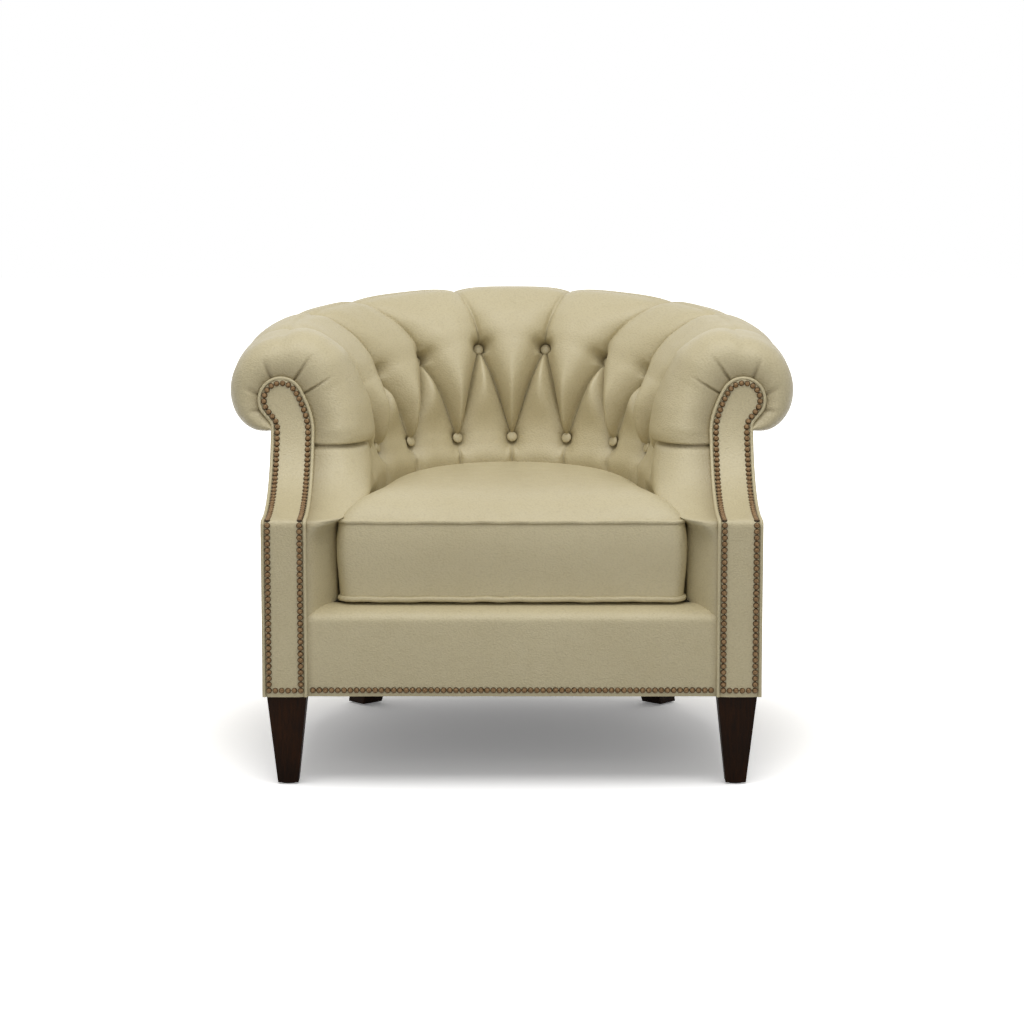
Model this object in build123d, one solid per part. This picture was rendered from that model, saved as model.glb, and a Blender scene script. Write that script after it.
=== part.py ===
"""Tufted leather tub armchair with rolled arms, nail trim and a loose seat cushion.

Millimetres, +Z up, the sitter faces -Y. The origin is on the floor under the middle of the chair.
Left and right are as seen from in front of the chair, so left is -X.
"""

from build123d import *
import math
import os

# Driving dimensions: plan
SIDE_HALF = 407.0          # outside of the arms, and outer radius of the round back
ARM_RUN = 378.0            # front plane to the centre of the round back
ROLL_CENTRE_R = 392.0      # middle of the rolled top, from the same centre
ROLL_R = 83.0              # half thickness of the rolled top
FACING_INNER = 336.0       # inner edge of the arm facing
SET_BACK = 235.0           # how far the arm's upright stands behind the front plane

# Driving dimensions: heights
LEG_HEIGHT = 151.0         # floor to the bottom of the base
BASE_HEIGHT = 147.0        # bottom of the base to the seat deck
BLOCK_HEIGHT = 290.0       # bottom of the base to the top of the front arm block
SWOOP_RISE = 200.0         # arm block to the level where the arm front stands upright
BACK_HEIGHT = 624.0        # bottom of the base to the crest of the back
VALLEY_HEIGHT = 357.0      # bottom of the base to the lower row of buttons
UPPER_ROW_HEIGHT = 511.0   # bottom of the base to the upper row, at the middle of the back
ARM_SLOPE = 0.135          # fall of the crest per millimetre towards the front
SWOOP_POWER = 2.3          # 2 would make the arm front's curve a quarter of an ellipse

# Sheet and board thicknesses
COVER_T = 4.0              # outside leather with its card and wadding
FRAME_T = 28.0             # hardwood rails and uprights
WEBBING_T = 2.0
FACING_T = 10.0            # leather covered facing board
POST_T = 36.0              # arm post, front to back
POST_INSET = 8.0           # facing edge to the arm post
RAIL_COVER_T = 10.0        # leather and wadding on the front rail
RING_T = 18.0              # plywood ring inside the rolled top
RING_HALF = 26.0           # half the width of that ring
DUST_COVER_T = 1.0
BURLAP_T = 1.2
WELT_W = 5.0               # leather welt round each facing
GAP = 0.3                  # running gap between soft pieces
SEAM = 0.1                 # gap between pieces sewn side by side

# Seat cushion
CUSHION_HALF = 288.0       # half width at the front
CUSHION_SET_BACK = 40.0    # front plane to the cushion
CUSHION_BACK_R = 236.0     # round back of the cushion, on the chair's own centre
CUSHION_BOX = 128.0        # height of the boxing between the two welts
CUSHION_CORNER = 20.0
CUSHION_LEATHER = 2.5
CUSHION_WELT_R = 3.2
CROWN_BELOW = 8.0          # the underside, from its welt down
CROWN_STEPS = ((0, 0), (24, 21), (70, 36), (140, 43))   # inset and rise of the crowned top

# Legs and their fixings
FRONT_LEG_TOP = 65.0
FRONT_LEG_FOOT = 34.0
FRONT_LEG_INSET = 5.0      # leg top behind the faces of the base
REAR_LEG_TOP = 62.0
REAR_LEG_FOOT = 45.0
REAR_LEG_TURN = 42.0       # degrees from the middle of the back
REAR_LEG_TOP_R = 361.0
REAR_LEG_FOOT_R = 412.0
LEG_EDGE = 2.0
GLIDE_R = 12.0
GLIDE_T = 3.0
PIN_R = 1.5
PIN_LENGTH = 14.0
BOLT_R = 4.0
BOLT_BELOW = 34.0          # hanger bolt inside the leg
BOLT_ABOVE = 40.0          # hanger bolt above the leg
BOLT_FIT = 0.05
NUT_FLANGE_R = 9.0
NUT_FLANGE_T = 1.6
NUT_BARREL_R = 5.5
NUT_BARREL = 12.0

# Nails, buttons and springs
NAIL_R = 4.85
NAIL_PROUD = 3.4
NAIL_SHANK_R = 0.8
NAIL_SHANK = 14.0
NAIL_PITCH = 10.1
NAIL_INSET = 11.5          # facing edge to the nail line
NAIL_RISE = 10.5           # bottom edge to the lowest nail line
BUTTON_R = 9.5
BUTTON_T = 6.5
TWINE_R = 1.0
LOWER_TURNS = (0, 23, 46, 70, 97)    # degrees from the middle of the back, both sides
UPPER_TURNS = (11.5, 34.5, 58, 83.5)
UPPER_ROW_FALL = 0.85      # millimetres per degree away from the middle
LOWER_BUTTON_OUT = 26.0     # lower buttons behind the back of the cushion
UPPER_BUTTON_IN = 74.0      # upper buttons inside the middle of the rolled top
BUTTON_LEAN = 20.0         # the buttons look up by this angle
WIRE_R = 1.8
SPRING_HALF = 20.0         # half the width of a sinuous spring
SPRING_STEP = 18.0         # length of one bar to the next
SPRING_PITCH = 90.0        # spring to spring across the seat
SPRING_COUNT = 6
UPRIGHT_W = 36.0
UPRIGHT_TURNS = (48, 72)     # beside the springs; the others stand in the gaps between springs
WEBBING_W = 38.0
WEBBING_TURNS = (46, 60, 82)
CLIP_T = 1.2
CLIP_LENGTH = 16.0
CLIP_WIDTH = 18.0

# Zip on the back of the cushion
ZIP_TURN = 44.0            # half the length of the zip, in degrees
ZIP_TAPE_T = 0.8
ZIP_TAPE_H = 24.0
ZIP_COIL_T = 1.5
ZIP_COIL_H = 5.0
ZIP_SLIDER = (9.0, 3.0, 12.0)        # along the zip, thickness, height
ZIP_PULL = (5.0, 1.2, 26.0)
ZIP_STOP_TURN = 40.0       # where the slider stands when the zip is closed

# Worked out from the sizes above
ROLL_OUTER = ROLL_CENTRE_R + ROLL_R
LOWER_BUTTON_R = CUSHION_BACK_R + LOWER_BUTTON_OUT
UPPER_BUTTON_R = ROLL_CENTRE_R - UPPER_BUTTON_IN
DEPTH = NAIL_PROUD + ARM_RUN + ROLL_OUTER
Y_FRONT = NAIL_PROUD - DEPTH / 2
Y_CENTRE = Y_FRONT + ARM_RUN
Y_CREST = Y_CENTRE + ROLL_CENTRE_R
BASE_Z = LEG_HEIGHT
DECK_Z = BASE_Z + BASE_HEIGHT
BLOCK_Z = BASE_Z + BLOCK_HEIGHT
VALLEY_Z = BASE_Z + VALLEY_HEIGHT
CREST_Z = BASE_Z + BACK_HEIGHT
ROLL_Z = CREST_Z - ROLL_R
TOP_Z = CREST_Z + 3 * ROLL_R         # above everything, for cutting
FRAME_OUT = SIDE_HALF - COVER_T
RAIL_FRONT = Y_FRONT + max(RAIL_COVER_T, FACING_T)
FRAME_IN = FRAME_OUT - FRAME_T
PAD_OUT = FRAME_IN - WEBBING_T - GAP
POST_IN = FACING_INNER + POST_INSET
FRAME_LOW = BASE_Z + DUST_COVER_T
FRAME_HIGH = BASE_Z + 109.0          # top of the seat rails
SPRING_Z = FRAME_HIGH + CLIP_T + 0.1 + WIRE_R
BURLAP_Z = SPRING_Z + WIRE_R + CLIP_T + 0.9
DECK_LOW = BURLAP_Z + BURLAP_T + GAP
RING_LOW = ROLL_Z - 36.0             # underside of the plywood ring, at the middle of the back
ROLL_UNDER = ROLL_Z - 62.0           # underside of the roll, at the middle of the back
SECTION = Plane(origin=(0, Y_CENTRE, 0), x_dir=(1, 0, 0), z_dir=(0, -1, 0))
FORWARD = (0, -1, 0)


def save(name, *solids):
    """Write the solids of one piece as one node."""
    shape = solids[0] if len(solids) == 1 else Compound(list(solids))
    export_step(shape, f"parts/{name}.step")


def slab(face, low, high):
    """A plan outline raised from one height to another."""
    return Pos(0, 0, low) * extrude(face, high - low, dir=(0, 0, 1))


def block(x, y, z):
    """A box given by its lowest and highest corner along each axis."""
    size = [high - low for low, high in (x, y, z)]
    middle = [(high + low) / 2 for low, high in (x, y, z)]
    return Pos(*middle) * Box(*size)


def horseshoe(radius, y_front):
    """Plan outline: straight sides from y_front, and a half circle at the back."""
    return make_face([
        Line((-radius, y_front), (radius, y_front)),
        Line((radius, y_front), (radius, Y_CENTRE)),
        CenterArc((0, Y_CENTRE), radius, 0, 180),
        Line((-radius, Y_CENTRE), (-radius, y_front)),
    ])


def horseshoe_wall(r_out, r_in, y_front, low, high):
    """A wall round the sides and back."""
    return slab(horseshoe(r_out, y_front) - horseshoe(r_in, y_front - 1), low, high)


def horseshoe_sweep(edges, y_front):
    """A section in radius and height, carried round both arms and the back."""
    section = SECTION * make_face(edges)
    arm = extrude(section, Y_CENTRE - y_front, dir=FORWARD)
    back = revolve(section, Axis((0, Y_CENTRE, 0), (0, 0, 1)), 180)
    return arm + back + mirror(arm, Plane.YZ)


def sloped(solid):
    """Lower a level piece towards the front as the crest falls."""
    return solid.transform_geometry(Matrix([
        [1, 0, 0, 0],
        [0, 1, 0, 0],
        [0, ARM_SLOPE, 1, -ARM_SLOPE * Y_CREST],
        [0, 0, 0, 1],
    ]))


def below_slope(level):
    """Everything under a sloped plane that is at this height under the crest of the back."""
    return sloped(block((-SIDE_HALF * 2, SIDE_HALF * 2), (Y_FRONT * 2, -Y_FRONT * 2), (-TOP_Z, level)))


def swoop_depth(z):
    """How far the arm front lies behind the front plane at this height."""
    rise = min(max((z - BLOCK_Z) / SWOOP_RISE, 0.0), 1.0)
    return SET_BACK * (1 - (1 - rise) ** SWOOP_POWER) ** (1 / SWOOP_POWER)


def behind_front(shift):
    """Everything behind the arm front's side profile, moved back and down by shift."""
    corner = 8.0
    steps = 8
    y = Y_FRONT + shift
    z = BLOCK_Z - shift
    swoop = [(y + corner, z)]
    for i in range(1, steps + 1):
        share = corner / SET_BACK + (1 - corner / SET_BACK) * i / steps
        rise = 1 - (1 - share ** SWOOP_POWER) ** (1 / SWOOP_POWER)
        swoop.append((y + SET_BACK * share, z + SWOOP_RISE * rise))
    top = (swoop[-1][0], TOP_Z)
    far = -3 * Y_FRONT
    profile = Plane.YZ * make_face([
        Line((y, -BASE_Z), (y, z - corner)),
        TangentArc((y, z - corner), (y + corner, z), tangent=(0, 1)),
        Spline(swoop, tangents=[(1, 0), (0, 1)]),
        Line(swoop[-1], top),
        Line(top, (far, TOP_Z)),
        Line((far, TOP_Z), (far, -BASE_Z)),
        Line((far, -BASE_Z), (y, -BASE_Z)),
    ])
    return extrude(profile, 2 * SIDE_HALF, dir=(1, 0, 0), both=True)


def front_strip(near, far):
    """The bent layer between two shifted arm front profiles."""
    return behind_front(near) - behind_front(far)


def facing_route(grow):
    """Front view of a facing's edge, from its inner foot over the scroll to its outer foot."""
    head = (ROLL_CENTRE_R, BLOCK_Z + 175.0)
    head_r = 38.0 + grow
    inner = FACING_INNER - grow
    outer = SIDE_HALF + grow
    shoulder = head[1] - 52.0
    neck = head[1] - 45.0
    entry, leave = math.radians(150), math.radians(-25)
    start = (head[0] + head_r * math.cos(entry), head[1] + head_r * math.sin(entry))
    end = (head[0] + head_r * math.cos(leave), head[1] + head_r * math.sin(leave))
    return [
        Line((inner, BASE_Z), (inner, shoulder)),
        Spline((inner, shoulder), start, tangents=[(0, 1), (math.sin(entry), -math.cos(entry))]),
        ThreePointArc(start, (head[0], head[1] + head_r), end),
        Spline(end, (outer, neck), tangents=[(math.sin(leave), -math.cos(leave)), (0, -1)]),
        Line((outer, neck), (outer, BASE_Z)),
    ]


def facing_prism(grow):
    """A facing's outline carried straight back through the arm."""
    route = facing_route(grow)
    foot = Line((SIDE_HALF + grow, BASE_Z), (FACING_INNER - grow, BASE_Z))
    ahead = Plane(origin=(0, Y_FRONT - 20, 0), x_dir=(1, 0, 0), z_dir=(0, -1, 0))
    outline = ahead * make_face([*route, foot])
    return extrude(outline, SET_BACK + 200, dir=(0, 1, 0))


def both_sides(name, solid):
    """Save a piece made for the right side, and its mirror image for the left."""
    save(f"{name}_right", solid)
    save(f"{name}_left", mirror(solid, Plane.YZ))


def walk(points, pitch):
    """Evenly spaced places along a polyline, both ends included, about one pitch apart."""
    lengths = [0.0]
    for a, b in zip(points, points[1:]):
        lengths.append(lengths[-1] + math.dist(a, b))
    count = max(1, int(lengths[-1] / pitch))
    places = []
    span = 0
    for i in range(count + 1):
        along = lengths[-1] * i / count
        while span < len(points) - 2 and lengths[span + 1] < along:
            span += 1
        share = (along - lengths[span]) / (lengths[span + 1] - lengths[span])
        places.append(tuple(a + (b - a) * share for a, b in zip(points[span], points[span + 1])))
    return places


def dome(radius, height):
    """The top of a ball, on a flat base at z 0."""
    ball = (radius ** 2 + height ** 2) / (2 * height)
    above = Pos(0, 0, height) * Box(4 * radius, 4 * radius, 2 * height)
    return (Pos(0, 0, height - ball) * Sphere(ball)) & above


NAIL = dome(NAIL_R, NAIL_PROUD) + Pos(0, 0, -NAIL_SHANK / 2) * Cylinder(NAIL_SHANK_R, NAIL_SHANK)


def nail_at(point, normal):
    """A domed nail with its head on the leather and its shank in the wood."""
    return Plane(origin=point, z_dir=normal) * NAIL


def turn_point(radius, turn, z):
    """A place on the horseshoe: degrees from the middle of the back, then on along the arm."""
    side = 1 if turn >= 0 else -1
    bend = min(abs(turn), 90.0)
    forward = math.radians(abs(turn) - bend) * radius
    x = side * radius * math.sin(math.radians(bend))
    y = Y_CENTRE + radius * math.cos(math.radians(bend)) - forward
    return (x, y, z)


def inward(turn, lean):
    """The direction from a place on the horseshoe to the middle of the seat, looking up by lean."""
    bend = math.radians(max(-90.0, min(90.0, turn)))
    flat = math.cos(math.radians(lean))
    return (-math.sin(bend) * flat, -math.cos(bend) * flat, math.sin(math.radians(lean)))


def button_places():
    """Each button's place and the way it looks."""
    places = []
    for row, radius, height in (
        (LOWER_TURNS, LOWER_BUTTON_R, VALLEY_Z),
        (UPPER_TURNS, UPPER_BUTTON_R, BASE_Z + UPPER_ROW_HEIGHT),
    ):
        for turn in sorted({*row, *(-t for t in row)}):
            x, y, z = turn_point(radius, turn, height)
            fall = UPPER_ROW_FALL * (abs(turn) - row[0]) if row is UPPER_TURNS else 0
            places.append(((x, y, z - fall), inward(turn, BUTTON_LEAN)))
    return places


def at(place):
    """A frame at a button with its z axis out of the leather."""
    return Plane(origin=place[0], z_dir=place[1])


def tuft_pits():
    """The hollows that the buttons pull into the padding."""
    depth = 90.0
    mouth = BUTTON_R + 2
    cone = Cone(mouth, mouth + depth * 0.75, depth, align=(Align.CENTER, Align.CENTER, Align.MIN))
    return [at(place) * cone for place in button_places()]


def cushion_plan(inset):
    """Plan of the cushion: straight front, sides that close in and a round back."""
    half = CUSHION_HALF - inset
    radius = CUSHION_BACK_R - inset
    y_front = Y_FRONT + CUSHION_SET_BACK + inset
    away = y_front - Y_CENTRE
    turn = math.atan2(away, half) + math.acos(radius / math.hypot(half, away))
    x, y = radius * math.cos(turn), Y_CENTRE + radius * math.sin(turn)
    plan = make_face([
        Line((-half, y_front), (half, y_front)),
        Line((half, y_front), (x, y)),
        ThreePointArc((x, y), (0, Y_CENTRE + radius), (-x, y)),
        Line((-x, y), (-half, y_front)),
    ])
    return fillet(plan.vertices().group_by(Axis.Y)[0], CUSHION_CORNER)


CUSHION_LOW = DECK_Z + GAP
WELT_LOW_Z = CUSHION_LOW + CROWN_BELOW
WELT_HIGH_Z = WELT_LOW_Z + CUSHION_BOX


def cushion_body(shell):
    """The cushion's outer form, or the form a shell's thickness inside it."""
    levels = [(CROWN_BELOW * 1.5, CUSHION_LOW + shell), (0, WELT_LOW_Z)]
    levels += [(inset, WELT_HIGH_Z + rise - shell * (rise > 0)) for inset, rise in CROWN_STEPS]
    outlines = [Pos(0, 0, z) * cushion_plan(inset + shell) for inset, z in levels]
    body = loft(outlines[:2], ruled=True)
    for lower, upper in zip(outlines[1:], outlines[2:]):
        body += loft([lower, upper], ruled=True)
    return body


def make_legs():
    """Four tapered hardwood legs, each on a hanger bolt and a glide."""
    legs, bolts, nuts, glides = {}, [], [], []
    front = (SIDE_HALF - FRONT_LEG_INSET - FRONT_LEG_TOP / 2, Y_FRONT + FRONT_LEG_INSET + FRONT_LEG_TOP / 2)
    for side, word in ((-1, "left"), (1, "right")):
        turn = side * REAR_LEG_TURN
        rear_top = turn_point(REAR_LEG_TOP_R, turn, BASE_Z)
        rear_foot = turn_point(REAR_LEG_FOOT_R, turn, GLIDE_T)
        places = {
            f"leg_front_{word}": ((side * front[0], front[1]), (side * front[0], front[1]),
                                  FRONT_LEG_TOP, FRONT_LEG_FOOT, 0),
            f"leg_rear_{word}": (rear_top[:2], rear_foot[:2], REAR_LEG_TOP, REAR_LEG_FOOT, -turn),
        }
        for name, (top, foot, top_size, foot_size, spin) in places.items():
            leg = loft([
                Pos(*foot, GLIDE_T) * Rot(0, 0, spin) * Rectangle(foot_size, foot_size),
                Pos(*top, BASE_Z) * Rot(0, 0, spin) * Rectangle(top_size, top_size),
            ], ruled=True)
            long_edges = [e for e in leg.edges() if e.bounding_box().size.Z > LEG_HEIGHT / 2]
            leg = fillet(long_edges, LEG_EDGE)
            leg -= Pos(*top, BASE_Z - BOLT_BELOW / 2) * Cylinder(BOLT_R + BOLT_FIT, BOLT_BELOW + 2)
            leg -= Pos(*foot, GLIDE_T + PIN_LENGTH / 2) * Cylinder(PIN_R + BOLT_FIT, PIN_LENGTH + 2)
            legs[name] = leg
            bolts.append(Pos(*top, BASE_Z + (BOLT_ABOVE - BOLT_BELOW) / 2)
                         * Cylinder(BOLT_R, BOLT_ABOVE + BOLT_BELOW))
            nut = Pos(0, 0, NUT_FLANGE_T / 2) * Cylinder(NUT_FLANGE_R, NUT_FLANGE_T)
            nut += Pos(0, 0, NUT_BARREL / 2) * Cylinder(NUT_BARREL_R, NUT_BARREL)
            nut -= Cylinder(BOLT_R + BOLT_FIT, 4 * NUT_BARREL)
            nuts.append(Pos(*top, FRAME_LOW) * nut)
            disc = Pos(0, 0, GLIDE_T / 2) * Cylinder(GLIDE_R, GLIDE_T)
            glides.append(Pos(*foot, 0) * (disc + Pos(0, 0, PIN_LENGTH / 2) * Cylinder(PIN_R, PIN_LENGTH)))
    for name, leg in legs.items():
        save(name, leg)
    save("leg_hanger_bolts", *bolts)
    save("leg_tee_nuts", *nuts)
    save("foot_glides", *glides)
    return [b.center() for b in bolts]


def bolt_holes(places):
    """Clearance for each hanger bolt and its tee nut, to cut from the wood above the legs."""
    holes = []
    for place in places:
        hole = Cylinder(BOLT_R + 0.5, 2 * BOLT_ABOVE + 4)
        hole += Pos(0, 0, NUT_FLANGE_T / 2) * Cylinder(NUT_FLANGE_R + BOLT_FIT, NUT_FLANGE_T + BOLT_FIT)
        hole += Pos(0, 0, NUT_BARREL / 2) * Cylinder(NUT_BARREL_R + BOLT_FIT, NUT_BARREL + BOLT_FIT)
        holes.append(Pos(place.X, place.Y, FRAME_LOW) * hole)
    return holes


def make_base_frame(holes):
    """Hardwood seat frame: four rails, blocks for the legs and a dust cover below."""
    rail_back = RAIL_FRONT + FRAME_T
    side_front = Y_FRONT + FACING_T + POST_T + GAP
    save("front_rail", block((-POST_IN, POST_IN), (RAIL_FRONT, rail_back), (FRAME_LOW, FRAME_HIGH)))
    both_sides("side_rail", block((FRAME_IN, FRAME_OUT), (side_front, Y_CENTRE), (FRAME_LOW, FRAME_HIGH)))
    ring = slab(make_face([
        Line((FRAME_IN, Y_CENTRE), (FRAME_OUT, Y_CENTRE)),
        CenterArc((0, Y_CENTRE), FRAME_OUT, 0, 180),
        Line((-FRAME_OUT, Y_CENTRE), (-FRAME_IN, Y_CENTRE)),
        CenterArc((0, Y_CENTRE), FRAME_IN, 0, 180),
    ]), FRAME_LOW, FRAME_HIGH)
    save("back_rail", ring)
    brace = 60.0
    corner = slab(make_face(Polyline(
        (POST_IN, rail_back), (POST_IN - brace, rail_back), (POST_IN, rail_back + brace), close=True,
    )), FRAME_LOW + 8, FRAME_HIGH - 20)
    save("corner_blocks", corner, mirror(corner, Plane.YZ))
    leg_block = block((-35, 35), (REAR_LEG_TOP_R - 34, SIDE_HALF), (FRAME_LOW, FRAME_LOW + 70))
    inside = slab(horseshoe(FRAME_IN, Y_FRONT), FRAME_LOW, FRAME_HIGH)
    rear = [
        (Pos(0, Y_CENTRE, 0) * Rot(0, 0, -turn) * leg_block) & inside
        for turn in (-REAR_LEG_TURN, REAR_LEG_TURN)
    ]
    for hole in holes:
        rear = [b - hole for b in rear]
    save("rear_leg_blocks", *rear)
    dust = slab(horseshoe(FRAME_OUT, RAIL_FRONT), BASE_Z, FRAME_LOW)
    for hole in holes:
        dust -= hole
    save("dust_cover", dust)


def spring_gap_turn(gap):
    """Turn of the middle of a gap between two springs at the back rail, counted from the middle gap."""
    return math.degrees(math.asin(gap * SPRING_PITCH / FRAME_IN))


def make_upper_frame(holes):
    """Arm posts, uprights and the plywood ring that the padding is built on."""
    strip = front_strip(FACING_T, FACING_T + POST_T)
    post_top = BLOCK_Z + 185.0
    post = strip & block((POST_IN, FRAME_OUT), (Y_FRONT, Y_CENTRE), (FRAME_LOW, post_top))
    for hole in holes:
        post -= hole
    both_sides("arm_post", post)
    ring_front = Y_FRONT + SET_BACK + FACING_T + POST_T + GAP
    ring = sloped(horseshoe_wall(ROLL_CENTRE_R + RING_HALF, ROLL_CENTRE_R - RING_HALF,
                                 ring_front, RING_LOW, RING_LOW + RING_T))
    save("top_ring", ring)
    room = below_slope(RING_LOW)
    bar = block((-UPRIGHT_W / 2, UPRIGHT_W / 2), (FRAME_IN - 5, SIDE_HALF), (FRAME_HIGH, CREST_Z))
    wall = horseshoe_wall(FRAME_OUT, FRAME_IN, ring_front, FRAME_HIGH, CREST_Z) & room
    outer_gap = SPRING_COUNT // 2 - 1
    turns = [spring_gap_turn(outer_gap), *UPRIGHT_TURNS]
    uprights = [
        wall & (Pos(0, Y_CENTRE, 0) * Rot(0, 0, turn) * bar)
        for turn in [0, *turns, *(-t for t in turns)]
    ]
    arm_bar = block((FRAME_IN, FRAME_OUT), (Y_CENTRE - 50, Y_CENTRE - 6), (FRAME_HIGH, CREST_Z)) & room
    save("back_uprights", *uprights, arm_bar, mirror(arm_bar, Plane.YZ))
    strap = block((-WEBBING_W / 2, WEBBING_W / 2), (PAD_OUT - 20, SIDE_HALF), (FRAME_HIGH - 30, CREST_Z))
    skin = horseshoe_wall(FRAME_IN, FRAME_IN - WEBBING_T, ring_front, FRAME_HIGH - 30, CREST_Z) & room
    turns = [*(spring_gap_turn(gap) for gap in range(1, outer_gap + 1)), *WEBBING_TURNS]
    straps = [
        skin & (Pos(0, Y_CENTRE, 0) * Rot(0, 0, turn) * strap)
        for turn in [*turns, *(-t for t in turns)]
    ]
    save("back_webbing", *straps)


def make_springs():
    """Sinuous seat springs on clips, under a burlap sheet."""
    springs, clips = [], []
    start = RAIL_FRONT + FRAME_T / 2
    grip = block((-CLIP_WIDTH / 2, CLIP_WIDTH / 2), (-CLIP_LENGTH / 2, CLIP_LENGTH / 2),
                 (FRAME_HIGH, SPRING_Z + WIRE_R + CLIP_T + 0.1))
    mouth = block((-CLIP_WIDTH, CLIP_WIDTH), (-CLIP_LENGTH / 2 + CLIP_T, CLIP_LENGTH),
                  (FRAME_HIGH + CLIP_T, SPRING_Z + WIRE_R + 0.1))
    clip = grip - mouth
    for i in range(SPRING_COUNT):
        x = (i - (SPRING_COUNT - 1) / 2) * SPRING_PITCH
        reach = Y_CENTRE + math.sqrt(((FRAME_IN + FRAME_OUT) / 2) ** 2 - x ** 2) - start
        bars = int(reach / SPRING_STEP)
        step = reach / bars
        points = []
        for n in range(bars + 1):
            ends = (-SPRING_HALF, SPRING_HALF) if n % 2 == 0 else (SPRING_HALF, -SPRING_HALF)
            points += [(x + e, start + n * step, SPRING_Z) for e in ends]
        path = FilletPolyline(*points, radius=step / 2 - 0.2)
        springs.append(sweep(Plane(origin=path @ 0, z_dir=path % 0) * Circle(WIRE_R), path))
        clips.append(Pos(x, start, 0) * clip)
        clips.append(Pos(x, start + reach, 0) * Rot(0, 0, 180) * clip)
    save("seat_springs", *springs)
    save("spring_clips", *clips)
    sheet = slab(horseshoe(PAD_OUT, RAIL_FRONT + GAP), BURLAP_Z, BURLAP_Z + BURLAP_T)
    posts = front_strip(0, FACING_T + POST_T + GAP)
    posts &= block((POST_IN - GAP, SIDE_HALF), (Y_FRONT, Y_CENTRE), (0, TOP_Z))
    save("seat_burlap", sheet - posts - mirror(posts, Plane.YZ))


def make_deck():
    """Padded deck under the cushion, and the leather front of the seat rail."""
    lip = 60.0
    edge = 27.0
    deck = slab(horseshoe(POST_IN - GAP, Y_FRONT + lip + GAP), DECK_LOW, DECK_Z)
    save("seat_deck", deck)
    profile = Plane.YZ * make_face([
        Line((Y_FRONT, BASE_Z), (Y_FRONT, DECK_Z - edge)),
        TangentArc((Y_FRONT, DECK_Z - edge), (Y_FRONT + edge, DECK_Z), tangent=(0, 1)),
        Line((Y_FRONT + edge, DECK_Z), (Y_FRONT + lip, DECK_Z)),
        Line((Y_FRONT + lip, DECK_Z), (Y_FRONT + lip, DECK_LOW)),
        Line((Y_FRONT + lip, DECK_LOW), (Y_FRONT + RAIL_COVER_T, DECK_LOW)),
        Line((Y_FRONT + RAIL_COVER_T, DECK_LOW), (Y_FRONT + RAIL_COVER_T, BASE_Z)),
        Line((Y_FRONT + RAIL_COVER_T, BASE_Z), (Y_FRONT, BASE_Z)),
    ])
    save("front_rail_cover", extrude(profile, FACING_INNER - GAP, dir=(1, 0, 0), both=True))


def arm_front_room():
    """What the facings, welts and arm posts take out of the padding, both sides."""
    shallow = facing_prism(GAP) & front_strip(-50, FACING_T + GAP)
    deep = front_strip(FACING_T, FACING_T + POST_T + GAP) & block(
        (POST_IN - GAP, FRAME_OUT + GAP), (Y_FRONT, Y_CENTRE), (0, BLOCK_Z + 185 + GAP))
    room = [shallow, deep]
    return room + [mirror(r, Plane.YZ) for r in room]


def nose_cut():
    """Rounds the inside front corner of each arm's padding, along the slope of the arm front."""
    reach = 100.0
    y = Y_FRONT + swoop_depth(VALLEY_Z)
    inner = FACING_INNER - reach
    square = Pos(inner + reach / 2 - 20, y + reach / 2 - 40) * Rectangle(reach + 40, reach + 80)
    square -= Pos(FACING_INNER, y + reach) * Ellipse(reach, reach)
    square -= Pos(FACING_INNER + reach / 2, y) * Rectangle(reach, 4 * reach)
    square -= Pos(inner, y + 2 * reach) * Rectangle(4 * reach, 2 * reach)
    rise = 170.0
    lean = swoop_depth(VALLEY_Z + rise) - swoop_depth(VALLEY_Z)
    cut = Pos(0, 0, VALLEY_Z - 60) * extrude(
        Pos(0, -lean * 60 / rise) * square, math.hypot(rise, lean) * 1.8, dir=(0, lean, rise))
    return [cut, mirror(cut, Plane.YZ)]


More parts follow.
